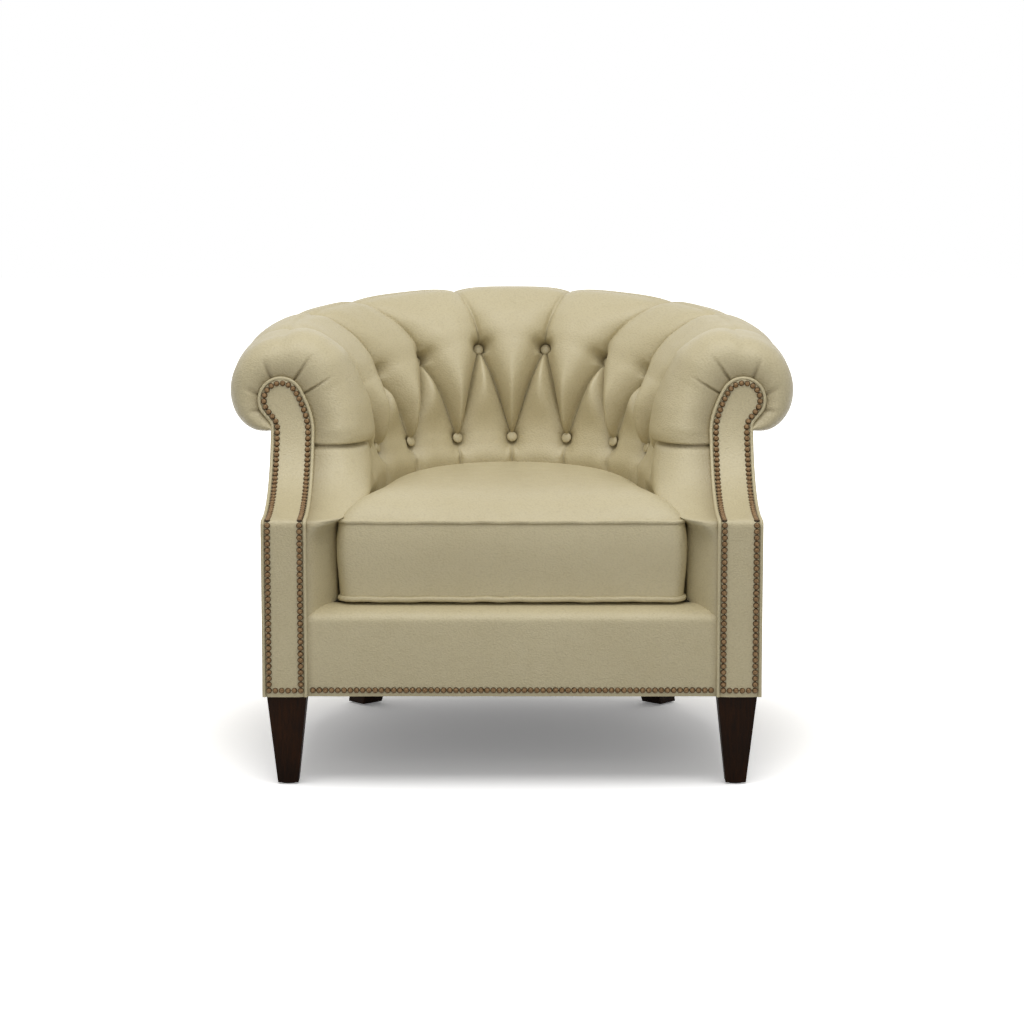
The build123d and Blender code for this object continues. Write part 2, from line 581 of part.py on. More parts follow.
def make_padding():
    """Foam on the inside of the back and arms: the lower wall, and the rolled top above it."""
    front = behind_front(GAP)
    room = arm_front_room()
    pits = tuft_pits()
    wall_in = CUSHION_BACK_R + 11
    low = DECK_Z + GAP
    wall = horseshoe_sweep([
        Line((PAD_OUT, low), (wall_in, low)),
        Line((wall_in, low), (wall_in, low + 100)),
        Spline((wall_in, low + 100), (CUSHION_BACK_R + 3, VALLEY_Z - 45), (LOWER_BUTTON_R - 4, VALLEY_Z),
               tangents=[(0, 1), (1, 0.4)]),
        Line((LOWER_BUTTON_R - 4, VALLEY_Z), (PAD_OUT, VALLEY_Z)),
        Line((PAD_OUT, VALLEY_Z), (PAD_OUT, low)),
    ], Y_FRONT - 5)
    wall &= front
    clear = CUSHION_WELT_R + 1
    cushion_room = Pos(0, 0, low - 1) * extrude(cushion_plan(-clear), VALLEY_Z, dir=(0, 0, 1))
    way_out = block((-CUSHION_HALF - clear, CUSHION_HALF + clear),
                    (2 * Y_FRONT, Y_FRONT + CUSHION_SET_BACK + CUSHION_CORNER), (low - 1, TOP_Z))
    for cut in [cushion_room, way_out, *room, *pits]:
        wall -= cut
    save("inside_back_pad", wall)

    ring_out = ROLL_CENTRE_R + RING_HALF + GAP
    ring_in = ROLL_CENTRE_R - RING_HALF - GAP
    ring_low, ring_high = RING_LOW - GAP, RING_LOW + RING_T + GAP
    under = FRAME_OUT + GAP
    bottom = VALLEY_Z - 10
    roll = horseshoe_sweep([
        Spline((LOWER_BUTTON_R - 2, bottom), (CUSHION_BACK_R + 6, VALLEY_Z + 95),
               (CUSHION_BACK_R + 45, ROLL_Z - 10), (ROLL_CENTRE_R, CREST_Z), tangents=[(-0.5, 1), (1, 0)]),
        CenterArc((ROLL_CENTRE_R, ROLL_Z), ROLL_R, 0, 90),
        Spline((ROLL_OUTER, ROLL_Z), (under, ROLL_UNDER), tangents=[(0, -1), (-1, -0.15)]),
        Line((under, ROLL_UNDER), (under, ring_low)),
        Line((under, ring_low), (ring_out, ring_low)),
        Line((ring_out, ring_low), (ring_out, ring_high)),
        Line((ring_out, ring_high), (ring_in, ring_high)),
        Line((ring_in, ring_high), (ring_in, ring_low)),
        Line((ring_in, ring_low), (PAD_OUT, ring_low)),
        Line((PAD_OUT, ring_low), (PAD_OUT, bottom)),
        Line((PAD_OUT, bottom), (LOWER_BUTTON_R - 2, bottom)),
    ], Y_FRONT + 60)
    roll = sloped(roll) & front
    roll -= block((-2 * SIDE_HALF, 2 * SIDE_HALF), (2 * Y_FRONT, -2 * Y_FRONT), (0, VALLEY_Z + GAP))
    for cut in [*room, *nose_cut(), *pits]:
        roll -= cut
    save("rolled_top_pad", roll)


def make_buttons():
    """Leather covered buttons, and the twine that ties each one to the webbing."""
    buttons, twines = [], []
    rim = BUTTON_T * 0.4
    button = Pos(0, 0, GAP + rim / 2) * Cylinder(BUTTON_R, rim)
    button += Pos(0, 0, GAP + rim) * dome(BUTTON_R, BUTTON_T - rim)
    reach = slab(horseshoe(FRAME_IN - WEBBING_T, Y_FRONT), 0, TOP_Z)
    for place in button_places():
        buttons.append(at(place) * button)
        twine = at(place) * (Pos(0, 0, GAP) * Cylinder(TWINE_R, 2 * SIDE_HALF, align=(
            Align.CENTER, Align.CENTER, Align.MAX)))
        tied = (twine & reach).solids()
        twines.append(min(tied, key=lambda s: (s.center() - Vector(*place[0])).length))
    save("tufting_buttons", *buttons)
    save("button_twines", *twines)


def make_facings():
    """Leather covered arm facings, the welt round each, and the nails along both."""
    layer = front_strip(0, FACING_T)
    both_sides("arm_facing", facing_prism(-WELT_W - SEAM) & layer)
    both_sides("facing_welt", (facing_prism(0) - facing_prism(-WELT_W)) & layer)
    flat = []
    samples = 60
    for edge in facing_route(-NAIL_INSET):
        flat += [edge @ (i / samples) for i in range(samples + 1)]
    low = BASE_Z + NAIL_RISE
    route = [(p.X, Y_FRONT + swoop_depth(p.Y), p.Y) for p in flat if p.Y > low]
    places = walk(route, NAIL_PITCH)
    first, last = places[0], places[-1]
    places += walk([first, last], NAIL_PITCH)[1:-1]
    nails = []
    for x, y, z in places:
        step = 0.5
        run = swoop_depth(z + step) - swoop_depth(z - step)
        nails.append(nail_at((x, y, z), (0, -2 * step, run)))
    save("facing_nails_right", *nails)
    save("facing_nails_left", *[mirror(n, Plane.YZ) for n in nails])


def make_outside():
    """Outside leather round the sides and back, and the nails along the bottom edge."""
    wall = horseshoe_wall(SIDE_HALF, FRAME_OUT, Y_FRONT - 5, BASE_Z, CREST_Z)
    save("outside_cover", wall & behind_front(FACING_T + GAP) & below_slope(ROLL_UNDER - GAP))
    z = BASE_Z + NAIL_RISE
    end = FACING_INNER - NAIL_R - WELT_W
    row = walk([(-end, Y_FRONT, z), (end, Y_FRONT, z)], NAIL_PITCH)
    save("front_rail_nails", *[nail_at(p, FORWARD) for p in row])
    turns = [i * 0.5 for i in range(-180, 181)]
    start = Y_FRONT + FACING_T + NAIL_R + 2
    route = [(-SIDE_HALF, start, z), *(turn_point(SIDE_HALF, t, z) for t in turns), (SIDE_HALF, start, z)]
    nails = []
    for x, y, height in walk(route, NAIL_PITCH + 0.4):
        out = (x, y - Y_CENTRE, 0) if y > Y_CENTRE else (x, 0, 0)
        nails.append(nail_at((x, y, height), out))
    save("base_nails", *nails)


def make_cushion():
    """Loose seat cushion: foam in a leather cover with two welts and a zip at the back."""
    welts = []
    for z in (WELT_LOW_Z, WELT_HIGH_Z):
        path = Pos(0, 0, z) * cushion_plan(0).face().outer_wire()
        welts.append(sweep(Plane(origin=path @ 0, z_dir=path % 0) * Circle(CUSHION_WELT_R), path))
    cover = cushion_body(0) - cushion_body(CUSHION_LEATHER)
    core = cushion_body(CUSHION_LEATHER + GAP)
    for welt in welts:
        cover -= welt
        core -= welt
    save("cushion_cover", cover)
    save("cushion_core", core)
    save("cushion_welt_lower", welts[0])
    save("cushion_welt_upper", welts[1])
    middle = (WELT_LOW_Z + WELT_HIGH_Z) / 2
    tape_r = CUSHION_BACK_R + ZIP_TAPE_T

    def band(r_out, r_in, height):
        sector = make_face([
            Line((0, 0), (r_out * 2, 0)),
            CenterArc((0, 0), r_out * 2, 0, 2 * ZIP_TURN),
            Line(Vector(r_out * 2, 0).rotate(Axis.Z, 2 * ZIP_TURN), (0, 0)),
        ])
        flat = (Circle(r_out) - Circle(r_in)) & (Rot(0, 0, 90 - ZIP_TURN) * sector)
        return Pos(0, Y_CENTRE, 0) * slab(flat, middle - height / 2, middle + height / 2)

    save("zip_tape", band(tape_r, CUSHION_BACK_R, ZIP_TAPE_H))
    save("zip_coil", band(tape_r + ZIP_COIL_T, tape_r, ZIP_COIL_H))
    along, thick, tall = ZIP_SLIDER
    y = tape_r + GAP
    slider = block((-along / 2, along / 2), (y, y + ZIP_COIL_T + thick),
                   (middle - tall / 2, middle + tall / 2))
    slider -= block((-along, along), (0, tape_r + ZIP_COIL_T + GAP),
                    (middle - ZIP_COIL_H / 2 - GAP, middle + ZIP_COIL_H / 2 + GAP))
    wide, thin, long = ZIP_PULL
    face = y + ZIP_COIL_T + thick
    slider += block((-wide / 2, wide / 2), (face, face + thin), (middle - long, middle + tall / 4))
    groove = Cylinder(tape_r + GAP, 2 * tall)
    slider = Pos(0, Y_CENTRE, 0) * (Rot(0, 0, -ZIP_STOP_TURN) * (slider - Pos(0, 0, middle) * groove))
    save("zip_slider", slider)


os.makedirs("parts", exist_ok=True)
bolt_centres = make_legs()
clearance = bolt_holes(bolt_centres)
make_base_frame(clearance)
make_upper_frame(clearance)
make_springs()
make_deck()
make_padding()
make_buttons()
make_facings()
make_outside()
make_cushion()
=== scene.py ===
"""Tufted leather tub armchair, dressed piece by piece in the order an upholsterer builds it."""

import math
import bpy
import numpy as np
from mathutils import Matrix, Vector


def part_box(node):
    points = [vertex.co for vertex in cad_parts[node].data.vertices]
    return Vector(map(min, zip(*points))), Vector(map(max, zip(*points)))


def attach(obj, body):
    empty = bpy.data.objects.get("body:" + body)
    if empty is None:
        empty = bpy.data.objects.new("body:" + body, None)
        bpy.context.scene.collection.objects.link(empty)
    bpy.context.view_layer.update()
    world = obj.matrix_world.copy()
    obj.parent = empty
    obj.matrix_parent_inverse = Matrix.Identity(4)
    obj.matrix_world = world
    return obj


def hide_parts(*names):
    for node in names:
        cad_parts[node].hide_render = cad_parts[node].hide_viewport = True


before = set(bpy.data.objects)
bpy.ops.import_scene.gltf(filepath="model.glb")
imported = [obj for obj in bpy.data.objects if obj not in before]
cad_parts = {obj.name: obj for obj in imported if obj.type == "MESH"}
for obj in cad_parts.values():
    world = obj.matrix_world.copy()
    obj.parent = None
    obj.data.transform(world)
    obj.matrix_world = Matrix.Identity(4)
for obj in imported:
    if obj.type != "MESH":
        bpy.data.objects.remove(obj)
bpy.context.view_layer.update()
scene = bpy.context.scene
scene.view_settings.view_transform = "Standard"

# Camera, floor and studio light.
# A long lens at standing height looks slightly down on the chair. The room is a white sweep with one broad
# overhead softbox, a front fill and even daylight from all round.
y_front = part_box("front_rail_cover")[0].y  # the chair's front plane
camera_height = 1.1025
camera_distance = 4.631
camera_down = math.radians(7.94)
focal_pixels = 2882
picture_pixels = 1024
sensor_mm = 36


def add_object(name, data):
    """A new object in the scene."""
    made = bpy.data.objects.new(name, data)
    scene.collection.objects.link(made)
    return made


camera = add_object("camera", bpy.data.cameras.new("camera"))
camera.location = (0, y_front - camera_distance, camera_height)
camera.rotation_euler = (math.pi / 2 - camera_down, 0, 0)
camera.data.sensor_width = sensor_mm
camera.data.lens = sensor_mm * focal_pixels / picture_pixels
scene.camera = camera


def softbox(name, place, aim, size, watts):
    lamp = bpy.data.lights.new(name, "AREA")
    lamp.shape = "RECTANGLE"
    lamp.size, lamp.size_y = size
    lamp.energy = watts
    holder = add_object(name, lamp)
    holder.location = place
    holder.rotation_euler = (Vector(aim) - Vector(place)).to_track_quat("-Z", "Y").to_euler()


softbox("overhead_softbox", place=(0, -0.9, 2.9), aim=(0, 0, 0.4), size=(2.8, 2.2), watts=41)
softbox("front_fill", place=(0, -3.6, 1.7), aim=(0, 0, 0.45), size=(3.2, 2.2), watts=12)


def feed(socket, value):
    """Give an input a link from another node, or a plain value."""
    if isinstance(value, bpy.types.NodeSocket):
        socket.id_data.links.new(value, socket)
    else:
        socket.default_value = value


def node(tree, kind, **settings):
    """A new node, with its inputs fed by name and its other settings as attributes."""
    made = tree.nodes.new(kind)
    for key, value in settings.items():
        if key in made.inputs:
            feed(made.inputs[key], value)
        else:
            setattr(made, key, value)
    return made


def wire(made, *values):
    """Feed a node's inputs in their order, and hand on its first output."""
    for socket, value in zip(made.inputs, values):
        feed(socket, value)
    return made.outputs[0]


def combine(operation, *values):
    return wire(node(values[0].id_data, "ShaderNodeMath", operation=operation), *values)


def spread(value, low, high, to_low=0.0, to_high=1.0, **settings):
    """Map part of a value's range to another range, clamped."""
    ends = {"From Min": low, "From Max": high, "To Min": to_low, "To Max": to_high}
    return node(value.id_data, "ShaderNodeMapRange", Value=value, **ends, **settings).outputs["Result"]


def camera_or_mirror(tree):
    """One for rays that show the backdrop itself, straight, in a reflection or through glass."""
    path = node(tree, "ShaderNodeLightPath").outputs
    seen = combine("MAXIMUM", path["Is Camera Ray"], path["Is Glossy Ray"])
    return combine("MAXIMUM", seen, path["Is Transmission Ray"])


white = (1, 1, 1, 1)
world = bpy.data.worlds.new("white_room")
world.use_nodes = True
scene.world = world
tree = world.node_tree
tree.nodes.clear()
daylight = node(tree, "ShaderNodeBackground", Color=(1.0, 0.985, 0.96, 1), Strength=0.50)
backdrop = node(tree, "ShaderNodeBackground", Color=white, Strength=1.0)
choose = node(tree, "ShaderNodeMixShader")
room = wire(choose, camera_or_mirror(tree), daylight.outputs[0], backdrop.outputs[0])
feed(node(tree, "ShaderNodeOutputWorld").inputs[0], room)

floor_reach = 14.0
floor_bounce, floor_shown = 0.32, 1.32  # the floor's tone as a reflector, and as it is seen
shade_near, shade_far = 0.42, 0.95  # the shadow fades out between these distances
glow_near, glow_far = 0.14, 1.0
floor_mesh = bpy.data.meshes.new("floor")
floor_corners = [(x * floor_reach, y * floor_reach, 0) for x, y in ((-1, -1), (1, -1), (1, 1), (-1, 1))]
floor_mesh.from_pydata(floor_corners, [], [(0, 1, 2, 3)])
floor = add_object("floor", floor_mesh)
paper = bpy.data.materials.new("white_floor")
paper.use_nodes = True
tree = paper.node_tree
tree.nodes.clear()
shown = camera_or_mirror(tree)
matt = wire(node(tree, "ShaderNodeBsdfDiffuse"), spread(shown, 0.0, 1.0, floor_bounce, floor_shown))
away = node(tree, "ShaderNodeVectorMath", operation="LENGTH")
feed(away.inputs[0], node(tree, "ShaderNodeTexCoord").outputs["Object"])
fade = spread(away.outputs["Value"], shade_near, shade_far, glow_near, glow_far,
              interpolation_type="SMOOTHSTEP")
glow = node(tree, "ShaderNodeEmission", Color=white, Strength=combine("MULTIPLY", fade, shown))
lit = wire(node(tree, "ShaderNodeAddShader"), matt, glow.outputs[0])
feed(node(tree, "ShaderNodeOutputMaterial").inputs[0], lit)
floor_mesh.materials.append(paper)

# Legs.
# Tapered hardwood, stained almost black and rubbed with satin varnish; each screws up into the seat frame
# on a hanger bolt and stands on a round plastic glide.
leg_stain = (0.0075, 0.0030, 0.0011, 1)
leg_grain = (0.026, 0.0100, 0.0040, 1)


def new_finish(name, roughness, metallic=0.0, shine=0.5):
    """A new material, its shader and its object coordinates."""
    material = bpy.data.materials.new(name)
    material.use_nodes = True
    tree = material.node_tree
    shader = tree.nodes["Principled BSDF"]
    for key, number in (("Roughness", roughness), ("Metallic", metallic), ("Specular IOR Level", shine)):
        shader.inputs[key].default_value = number
    return material, shader, node(tree, "ShaderNodeTexCoord").outputs["Object"]


def noise(coords, scale, detail=2.0, roughness=0.5):
    return node(coords.id_data, "ShaderNodeTexNoise", Vector=coords, Scale=scale, Detail=detail,
                Roughness=roughness).outputs["Fac"]


def blend_colours(share, low, high):
    """A blend of two colours, plain or linked, by a share from 0 to 1."""
    mix = node(share.id_data, "ShaderNodeMix", data_type="RGBA")
    for index, value in ((0, share), (6, low), (7, high)):
        feed(mix.inputs[index], value)
    return mix.outputs[2]


def stretch(coords, scale):
    return wire(node(coords.id_data, "ShaderNodeMapping", Scale=scale), coords)


def relief(shader, height, distance, strength=1.0, below=None):
    """Bump from a height, laid over an earlier bump where there is one."""
    bump = node(height.id_data, "ShaderNodeBump", Strength=strength, Distance=distance, Height=height)
    if below is not None:
        feed(bump.inputs["Normal"], below)
    feed(shader.inputs["Normal"], bump.outputs["Normal"])
    return bump.outputs["Normal"]


def wood(name, dark, light, roughness, grain_scale, shine):
    """Timber with its grain along z, cloudy in tone."""
    material, shader, coords = new_finish(name, roughness, shine=shine)
    fibre = noise(stretch(coords, (1.0, 1.0, 0.06)), grain_scale, 6.0, 0.6)
    cloud = spread(noise(coords, 9.0, 3.0), 0.3, 0.7, 0.6, 1.3)
    share = spread(combine("MULTIPLY", fibre, cloud), 0.3, 0.75)
    feed(shader.inputs["Base Color"], blend_colours(share, dark, light))
    dull = spread(fibre, 0.2, 0.8, roughness - 0.06, roughness + 0.1)
    feed(shader.inputs["Roughness"], dull)
    relief(shader, fibre, 0.0004, 0.35)
    return material


def speckled(name, dark, light, roughness, scale, detail):
    """A plain moulded stuff with a fine mottle."""
    material, shader, coords = new_finish(name, roughness)
    mottle = noise(coords, scale, detail)
    feed(shader.inputs["Base Color"], blend_colours(mottle, dark, light))
    return material


def dress(nodes, material):
    """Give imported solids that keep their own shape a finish."""
    for name in nodes:
        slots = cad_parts[name].data.materials
        slots.clear()
        slots.append(material)


dress(["leg_front_left", "leg_front_right", "leg_rear_left", "leg_rear_right"],
      wood("espresso_stain", leg_stain, leg_grain, roughness=0.46, grain_scale=260.0, shine=0.06))
dress(["foot_glides"], speckled("glide_plastic", (0.022, 0.02, 0.018, 1), (0.035, 0.032, 0.028, 1),
                                roughness=0.5, scale=300.0, detail=2.0))

# Seat frame, springs and fixings.
# Sawn beech rails and posts, a plywood ring under the rolled top, zig-zag spring wire in steel clips, jute
# webbing, burlap and a black dust cover; all of it is hidden by the upholstery.
dress(["front_rail", "side_rail_left", "side_rail_right", "back_rail", "corner_blocks", "rear_leg_blocks",
       "arm_post_left", "arm_post_right", "back_uprights", "top_ring"],
      wood("sawn_beech", (0.36, 0.22, 0.11, 1), (0.58, 0.40, 0.23, 1), roughness=0.62, grain_scale=150.0,
           shine=0.4))


def metal(name, dark, light, roughness):
    """Worn metal, cloudy in colour and in polish."""
    material, shader, coords = new_finish(name, roughness, 1.0)
    cloud = spread(noise(coords, 160.0, 4.0), 0.35, 0.65)
    feed(shader.inputs["Base Color"], blend_colours(cloud, dark, light))
    wear = spread(noise(coords, 420.0, 3.0), 0.3, 0.7, roughness - 0.08, roughness + 0.12)
    feed(shader.inputs["Roughness"], wear)
    return material


dress(["seat_springs", "spring_clips", "leg_hanger_bolts", "leg_tee_nuts"],
      metal("spring_steel", (0.20, 0.20, 0.21, 1), (0.42, 0.42, 0.43, 1), roughness=0.35))


def weave(name, dark, light, threads):
    """Plain woven cloth: crossing threads, as colour and relief."""
    material, shader, coords = new_finish(name, 0.85)
    waves = [node(coords.id_data, "ShaderNodeTexWave", bands_direction=way, Vector=coords, Scale=threads)
             for way in ("X", "Y")]
    cross = combine("MAXIMUM", *(wave.outputs["Fac"] for wave in waves))
    feed(shader.inputs["Base Color"], blend_colours(cross, dark, light))
    relief(shader, cross, 0.0005, 0.6)
    return material


dress(["seat_burlap", "back_webbing", "button_twines"],
      weave("jute_burlap", (0.22, 0.15, 0.08, 1), (0.45, 0.34, 0.20, 1), threads=180.0))
dress(["dust_cover"],
      weave("black_cambric", (0.008, 0.008, 0.008, 1), (0.022, 0.021, 0.02, 1), threads=260.0))

# Outside leather.
# One hide skin over card and wadding, from the bottom edge of the base up under the rolled top and round
# both arms to the facings; two upright seams join the arm panels to the back panel.
leather_light = (0.585, 0.515, 0.325, 1)
leather_mid = (0.545, 0.475, 0.292, 1)
# The darkest tone: painted shade in folds, pleats and tucked edges, and the dark of seam lines and of the
# pebble grain.
leather_shade_and_grain = (0.200, 0.150, 0.070, 1)
leather_rubbed = (0.620, 0.555, 0.375, 1)


def make_leather():
    """Pebbled semi-aniline hide: cloudy colour, paler where it is rubbed, darker along seams, with painted
    shade in the folds and tucks.
    """
    material, shader, coords = new_finish("pebbled_leather", 0.46, shine=0.46)
    tree = coords.id_data
    cloud = spread(noise(coords, 5.5, 4.0, 0.6), 0.32, 0.68)
    colour = blend_colours(cloud, leather_mid, leather_light)
    mottle = spread(noise(coords, 60.0, 5.0, 0.62), 0.36, 0.72, 0.0, 0.14)
    colour = blend_colours(mottle, colour, leather_rubbed)
    # Painted shade: a per-point value from each mesh darkens the hide in folds, pleats, tucks and under
    # overhangs, and along seams.
    painted_shade_and_seams = node(tree, "ShaderNodeAttribute", attribute_name="painted_shade_and_seams").outputs["Fac"]
    colour = blend_colours(spread(painted_shade_and_seams, 0.0, 1.0, 0.0, 0.85), colour, leather_shade_and_grain)
    pebble = node(tree, "ShaderNodeTexVoronoi", feature="SMOOTH_F1", Scale=420.0, Smoothness=0.6)
    warp = node(tree, "ShaderNodeMix", data_type="VECTOR")
    jitter = node(tree, "ShaderNodeTexNoise", Vector=coords, Scale=240.0, Detail=2.0)
    for index, value in ((0, 0.002), (4, coords), (5, jitter.outputs["Color"])):
        feed(warp.inputs[index], value)
    feed(pebble.inputs["Vector"], stretch(warp.outputs[1], (0.7, 0.7, 1.0)))
    grain = pebble.outputs["Distance"]
    colour = blend_colours(spread(grain, 0.35, 0.95, 0.0, 0.16), colour, leather_shade_and_grain)
    feed(shader.inputs["Base Color"], colour)
    sheen = spread(noise(coords, 38.0, 4.0), 0.3, 0.7, 0.34, 0.46)
    feed(shader.inputs["Roughness"], sheen)
    creases = noise(stretch(coords, (1.0, 1.0, 0.45)), 34.0, 5.0, 0.6)
    creased = relief(shader, creases, 0.005, 0.11)
    relief(shader, combine("MULTIPLY", grain, -1.0), 0.0011, 0.50, creased)
    return material


leather = make_leather()


def mesh_piece(name, points, faces, material, painted_shade_and_seams=None):
    """A smooth shaded mesh object, with an optional darkening value per point."""
    mesh = bpy.data.meshes.new(name)
    mesh.from_pydata([tuple(p) for p in points], [], [tuple(f) for f in faces])
    mesh.validate()
    mesh.shade_smooth()
    mesh.materials.append(material)
    if painted_shade_and_seams is not None:
        values = np.asarray(painted_shade_and_seams, np.float32)
        mesh.attributes.new("painted_shade_and_seams", "FLOAT", "POINT").data.foreach_set("value", values)
    return add_object(name, mesh)


def grid_faces(columns, rows, closed=False, tube=False, first=0):
    """Quads of a grid stored column after column. closed joins the last column to the first, and tube joins
    the last point of each column to its first."""
    faces = []
    for i in range(columns if closed else columns - 1):
        a, b = first + i * rows, first + (i + 1) % columns * rows
        for j in range(rows if tube else rows - 1):
            after = (j + 1) % rows
            faces.append((a + j, b + j, b + after, a + after))
    return faces


def lengths_along(line):
    """Length of a line of points, from its start to each of them."""
    return np.concatenate([[0], np.cumsum(np.linalg.norm(np.diff(line, axis=0), axis=1))])


def spaced(line, count, endpoint=True):
    """Evenly spaced points along a line."""
    lengths = lengths_along(line)
    want = np.linspace(0, lengths[-1], count, endpoint=endpoint)
    return np.stack([np.interp(want, lengths, places) for places in np.transpose(line)], axis=1)


# The chair's main lines: the base wall gives the sides and the underside, the rolled top gives the crest.
base_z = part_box("outside_cover")[0].z
side_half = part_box("outside_cover")[1].x
y_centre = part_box("back_rail")[0].y  # centre of the round back
roll_outer, _, crest_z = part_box("rolled_top_pad")[1]
arm_run = y_centre - y_front
block_z = base_z + 0.290  # top of the upright block under each arm
block_round = 0.008
set_back = 0.235  # how far the arm front swoops back above the block
swoop_rise = 0.200
swoop_power = 2.3


def front_depth(z):
    """How far the arm front lies behind the front plane at a height."""
    z = np.asarray(z, float)
    rise = np.clip((z - block_z) / swoop_rise, 0.0, 1.0)
    swoop = set_back * (1 - (1 - rise) ** swoop_power) ** (1 / swoop_power)
    corner = np.clip(z - block_z + block_round, 0.0, block_round)
    return np.maximum(swoop, block_round - np.sqrt(block_round ** 2 - corner ** 2))


def front_levels(low, high, count):
    """Heights that are evenly spaced along the arm front's side view."""
    fine = np.concatenate([np.linspace(low, block_z - block_round, 60),
                           block_z + np.linspace(-1, 0, 60)[1:] ** 3 * block_round,
                           block_z + (high - block_z) * np.linspace(0, 1, 500)[1:] ** 3])
    return spaced(np.stack([front_depth(fine), fine], axis=1), count)[:, 1]


arm_slope = 0.135
roll_r = 0.083
roll_centre_r = roll_outer - roll_r


def crest_height(turn, forward):
    """Height of the rolled top's crest, which falls towards the arm fronts."""
    back = roll_centre_r * (1 - np.cos(np.radians(np.minimum(np.abs(turn), 90.0))))
    return crest_z - arm_slope * (back + forward)


def horseshoe(radius, turn, forward):
    """Plan place: turned from the middle of the back, then forward along the arm."""
    bend = np.radians(np.clip(turn, -90.0, 90.0))
    return radius * np.sin(bend), y_centre + radius * np.cos(bend) - forward


panel_seam_turn = 62.0
seam_spread = 0.55  # degrees
seam_dip = 0.0025
skin_inset = 0.004
skin_bulge = 0.004
under_roll = 0.146  # crest to the underside of the roll
hidden_hem = 0.006  # the skin ends this far above that underside
hem_share = 0.07  # the skin is painted darker, as shade under the roll, over this share below the hem
skin_rows = 70
arm_steps = np.linspace(0, 1, 40)
skin_levels = front_levels(base_z, block_z + 0.125, skin_rows)
up = (skin_levels - base_z) / (skin_levels[-1] - base_z)
hem_shade = 0.5 * np.maximum(0, up - 1 + hem_share) / hem_share
skin_columns = [(-90.0, share) for share in arm_steps[:0:-1]]
skin_columns += [(turn, 0.0) for turn in np.linspace(-90, 90, 181)]
skin_columns += [(90.0, share) for share in arm_steps[1:]]
skin, skin_seam_and_shade = [], []
for skin_turn, share in skin_columns:
    at_seam = math.exp(-((abs(skin_turn) - panel_seam_turn) / seam_spread) ** 2) if share == 0 else 0.0
    ahead = share * (arm_run - front_depth(skin_levels) - skin_inset)
    hem_z = crest_height(skin_turn, ahead) - under_roll + hidden_hem
    bulge = skin_bulge * np.sin(math.pi * np.minimum(1, up * 1.02)) ** 0.6 * (1 - 0.6 * share ** 6)
    x, y = horseshoe(side_half - skin_inset + bulge - seam_dip * at_seam, skin_turn, ahead)
    skin += [*zip(x, y, skin_levels + up ** 2 * (hem_z - skin_levels[-1]))]
    # A dark line along the two upright seams, and painted shade under the roll towards the hem.
    skin_seam_and_shade += [*np.minimum(1, 0.55 * at_seam + hem_shade)]
outside = mesh_piece("outside_leather", skin, grid_faces(len(skin_columns), skin_rows), leather, skin_seam_and_shade)
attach(outside, "chair")
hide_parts("outside_cover")

# Front rail leather and seat deck.
# Wadding and hide pulled over the front seat rail, with a rounded top edge that runs back under the cushion
# on to the sewn deck cloth.
deck_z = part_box("seat_deck")[1].z
rail_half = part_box("front_rail_cover")[1].x
rail_edge = 0.024  # how far down the rounded edge falls
rail_fall = 0.050  # how far back it starts to fall
rail_lip = 0.066  # where the leather ends under the cushion
rail_inset = 0.004
rail_swell = 0.0035
rail_ripple = 0.0006
rail_end = 0.012  # painted shade darkens the leather this close to the facings
rail_profile = [(0.0, base_z + t * (deck_z - rail_edge - base_z)) for t in np.linspace(0, 1, 24)]
rail_profile += [(rail_fall * (1 - math.cos(a)), deck_z - rail_edge + rail_edge * math.sin(a))
                 for a in np.radians(np.linspace(0, 90, 14)[1:])]
rail_profile += [(depth, deck_z) for depth in np.linspace(rail_fall, rail_lip, 8)[1:]]
depth, z = np.transpose(rail_profile)
up = (z - base_z) / (deck_z - base_z)
bulge = rail_swell * np.sin(math.pi * np.minimum(1, up * 0.9))
rail_columns = np.linspace(-rail_half, rail_half, 170)
rail_points, rail_shade = [], []
for x in rail_columns:
    ripple = rail_ripple * math.sin(x * 61 + 3 * math.sin(x * 17)) * (1 - up)
    rail_points += [*zip(np.full(len(z), x), y_front + rail_inset + depth - bulge + ripple, z)]
    # Painted shade in the corners beside the facings.
    rail_shade += [0.5 * max(0, 1 - (rail_half - abs(x)) / rail_end)] * len(z)
rail = mesh_piece("front_rail_leather", rail_points, grid_faces(len(rail_columns), len(rail_profile)),
                  leather, rail_shade)
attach(rail, "chair")
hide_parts("front_rail_cover")
dress(["seat_deck"], weave("deck_cloth", (0.23, 0.19, 0.12, 1), (0.36, 0.31, 0.21, 1), threads=320.0))

# Tufted inside leather.
# One buttoned hide over deep foam: it climbs from the deck, is pulled in by two rows of buttons, swells into
# pouches between the folds, rolls over the top and is tucked under the roll and round the arm facings.
lower_turns = (0.0, 23.0, 46.0, 70.0)
upper_turns = (11.5, 34.5, 58.0, 83.5)
crest_turns = (15.8, 47.0, 67.0, 90.0)  # where the pleats from the upper buttons cross the crest
fold_r = 0.29  # radius at which lengths along the leather are taken
quarter = math.radians(90) * fold_r
arm_leather = 0.115  # leather from the end of the round back to the nose
arm_end = quarter + arm_leather
last_button = 0.032  # last lower button, forward of the round back
valley_z = base_z + 0.355  # lower row of buttons
valley_rise = 0.034  # the last pleat climbs to the facing
upper_z = base_z + 0.511  # upper row of buttons
upper_row_fall = 0.00085  # per degree away from the middle
arm_lift = 0.005  # the rolled top stands a little fuller over the arms
nose_rise = 0.042  # the fullest part of the arm's nose, above the upper row
columns_per_fold = 26
arm_columns = 28
nose_columns = 22
rows_lower, rows_band, rows_upper, rows_over = 44, columns_per_fold, 40, 36

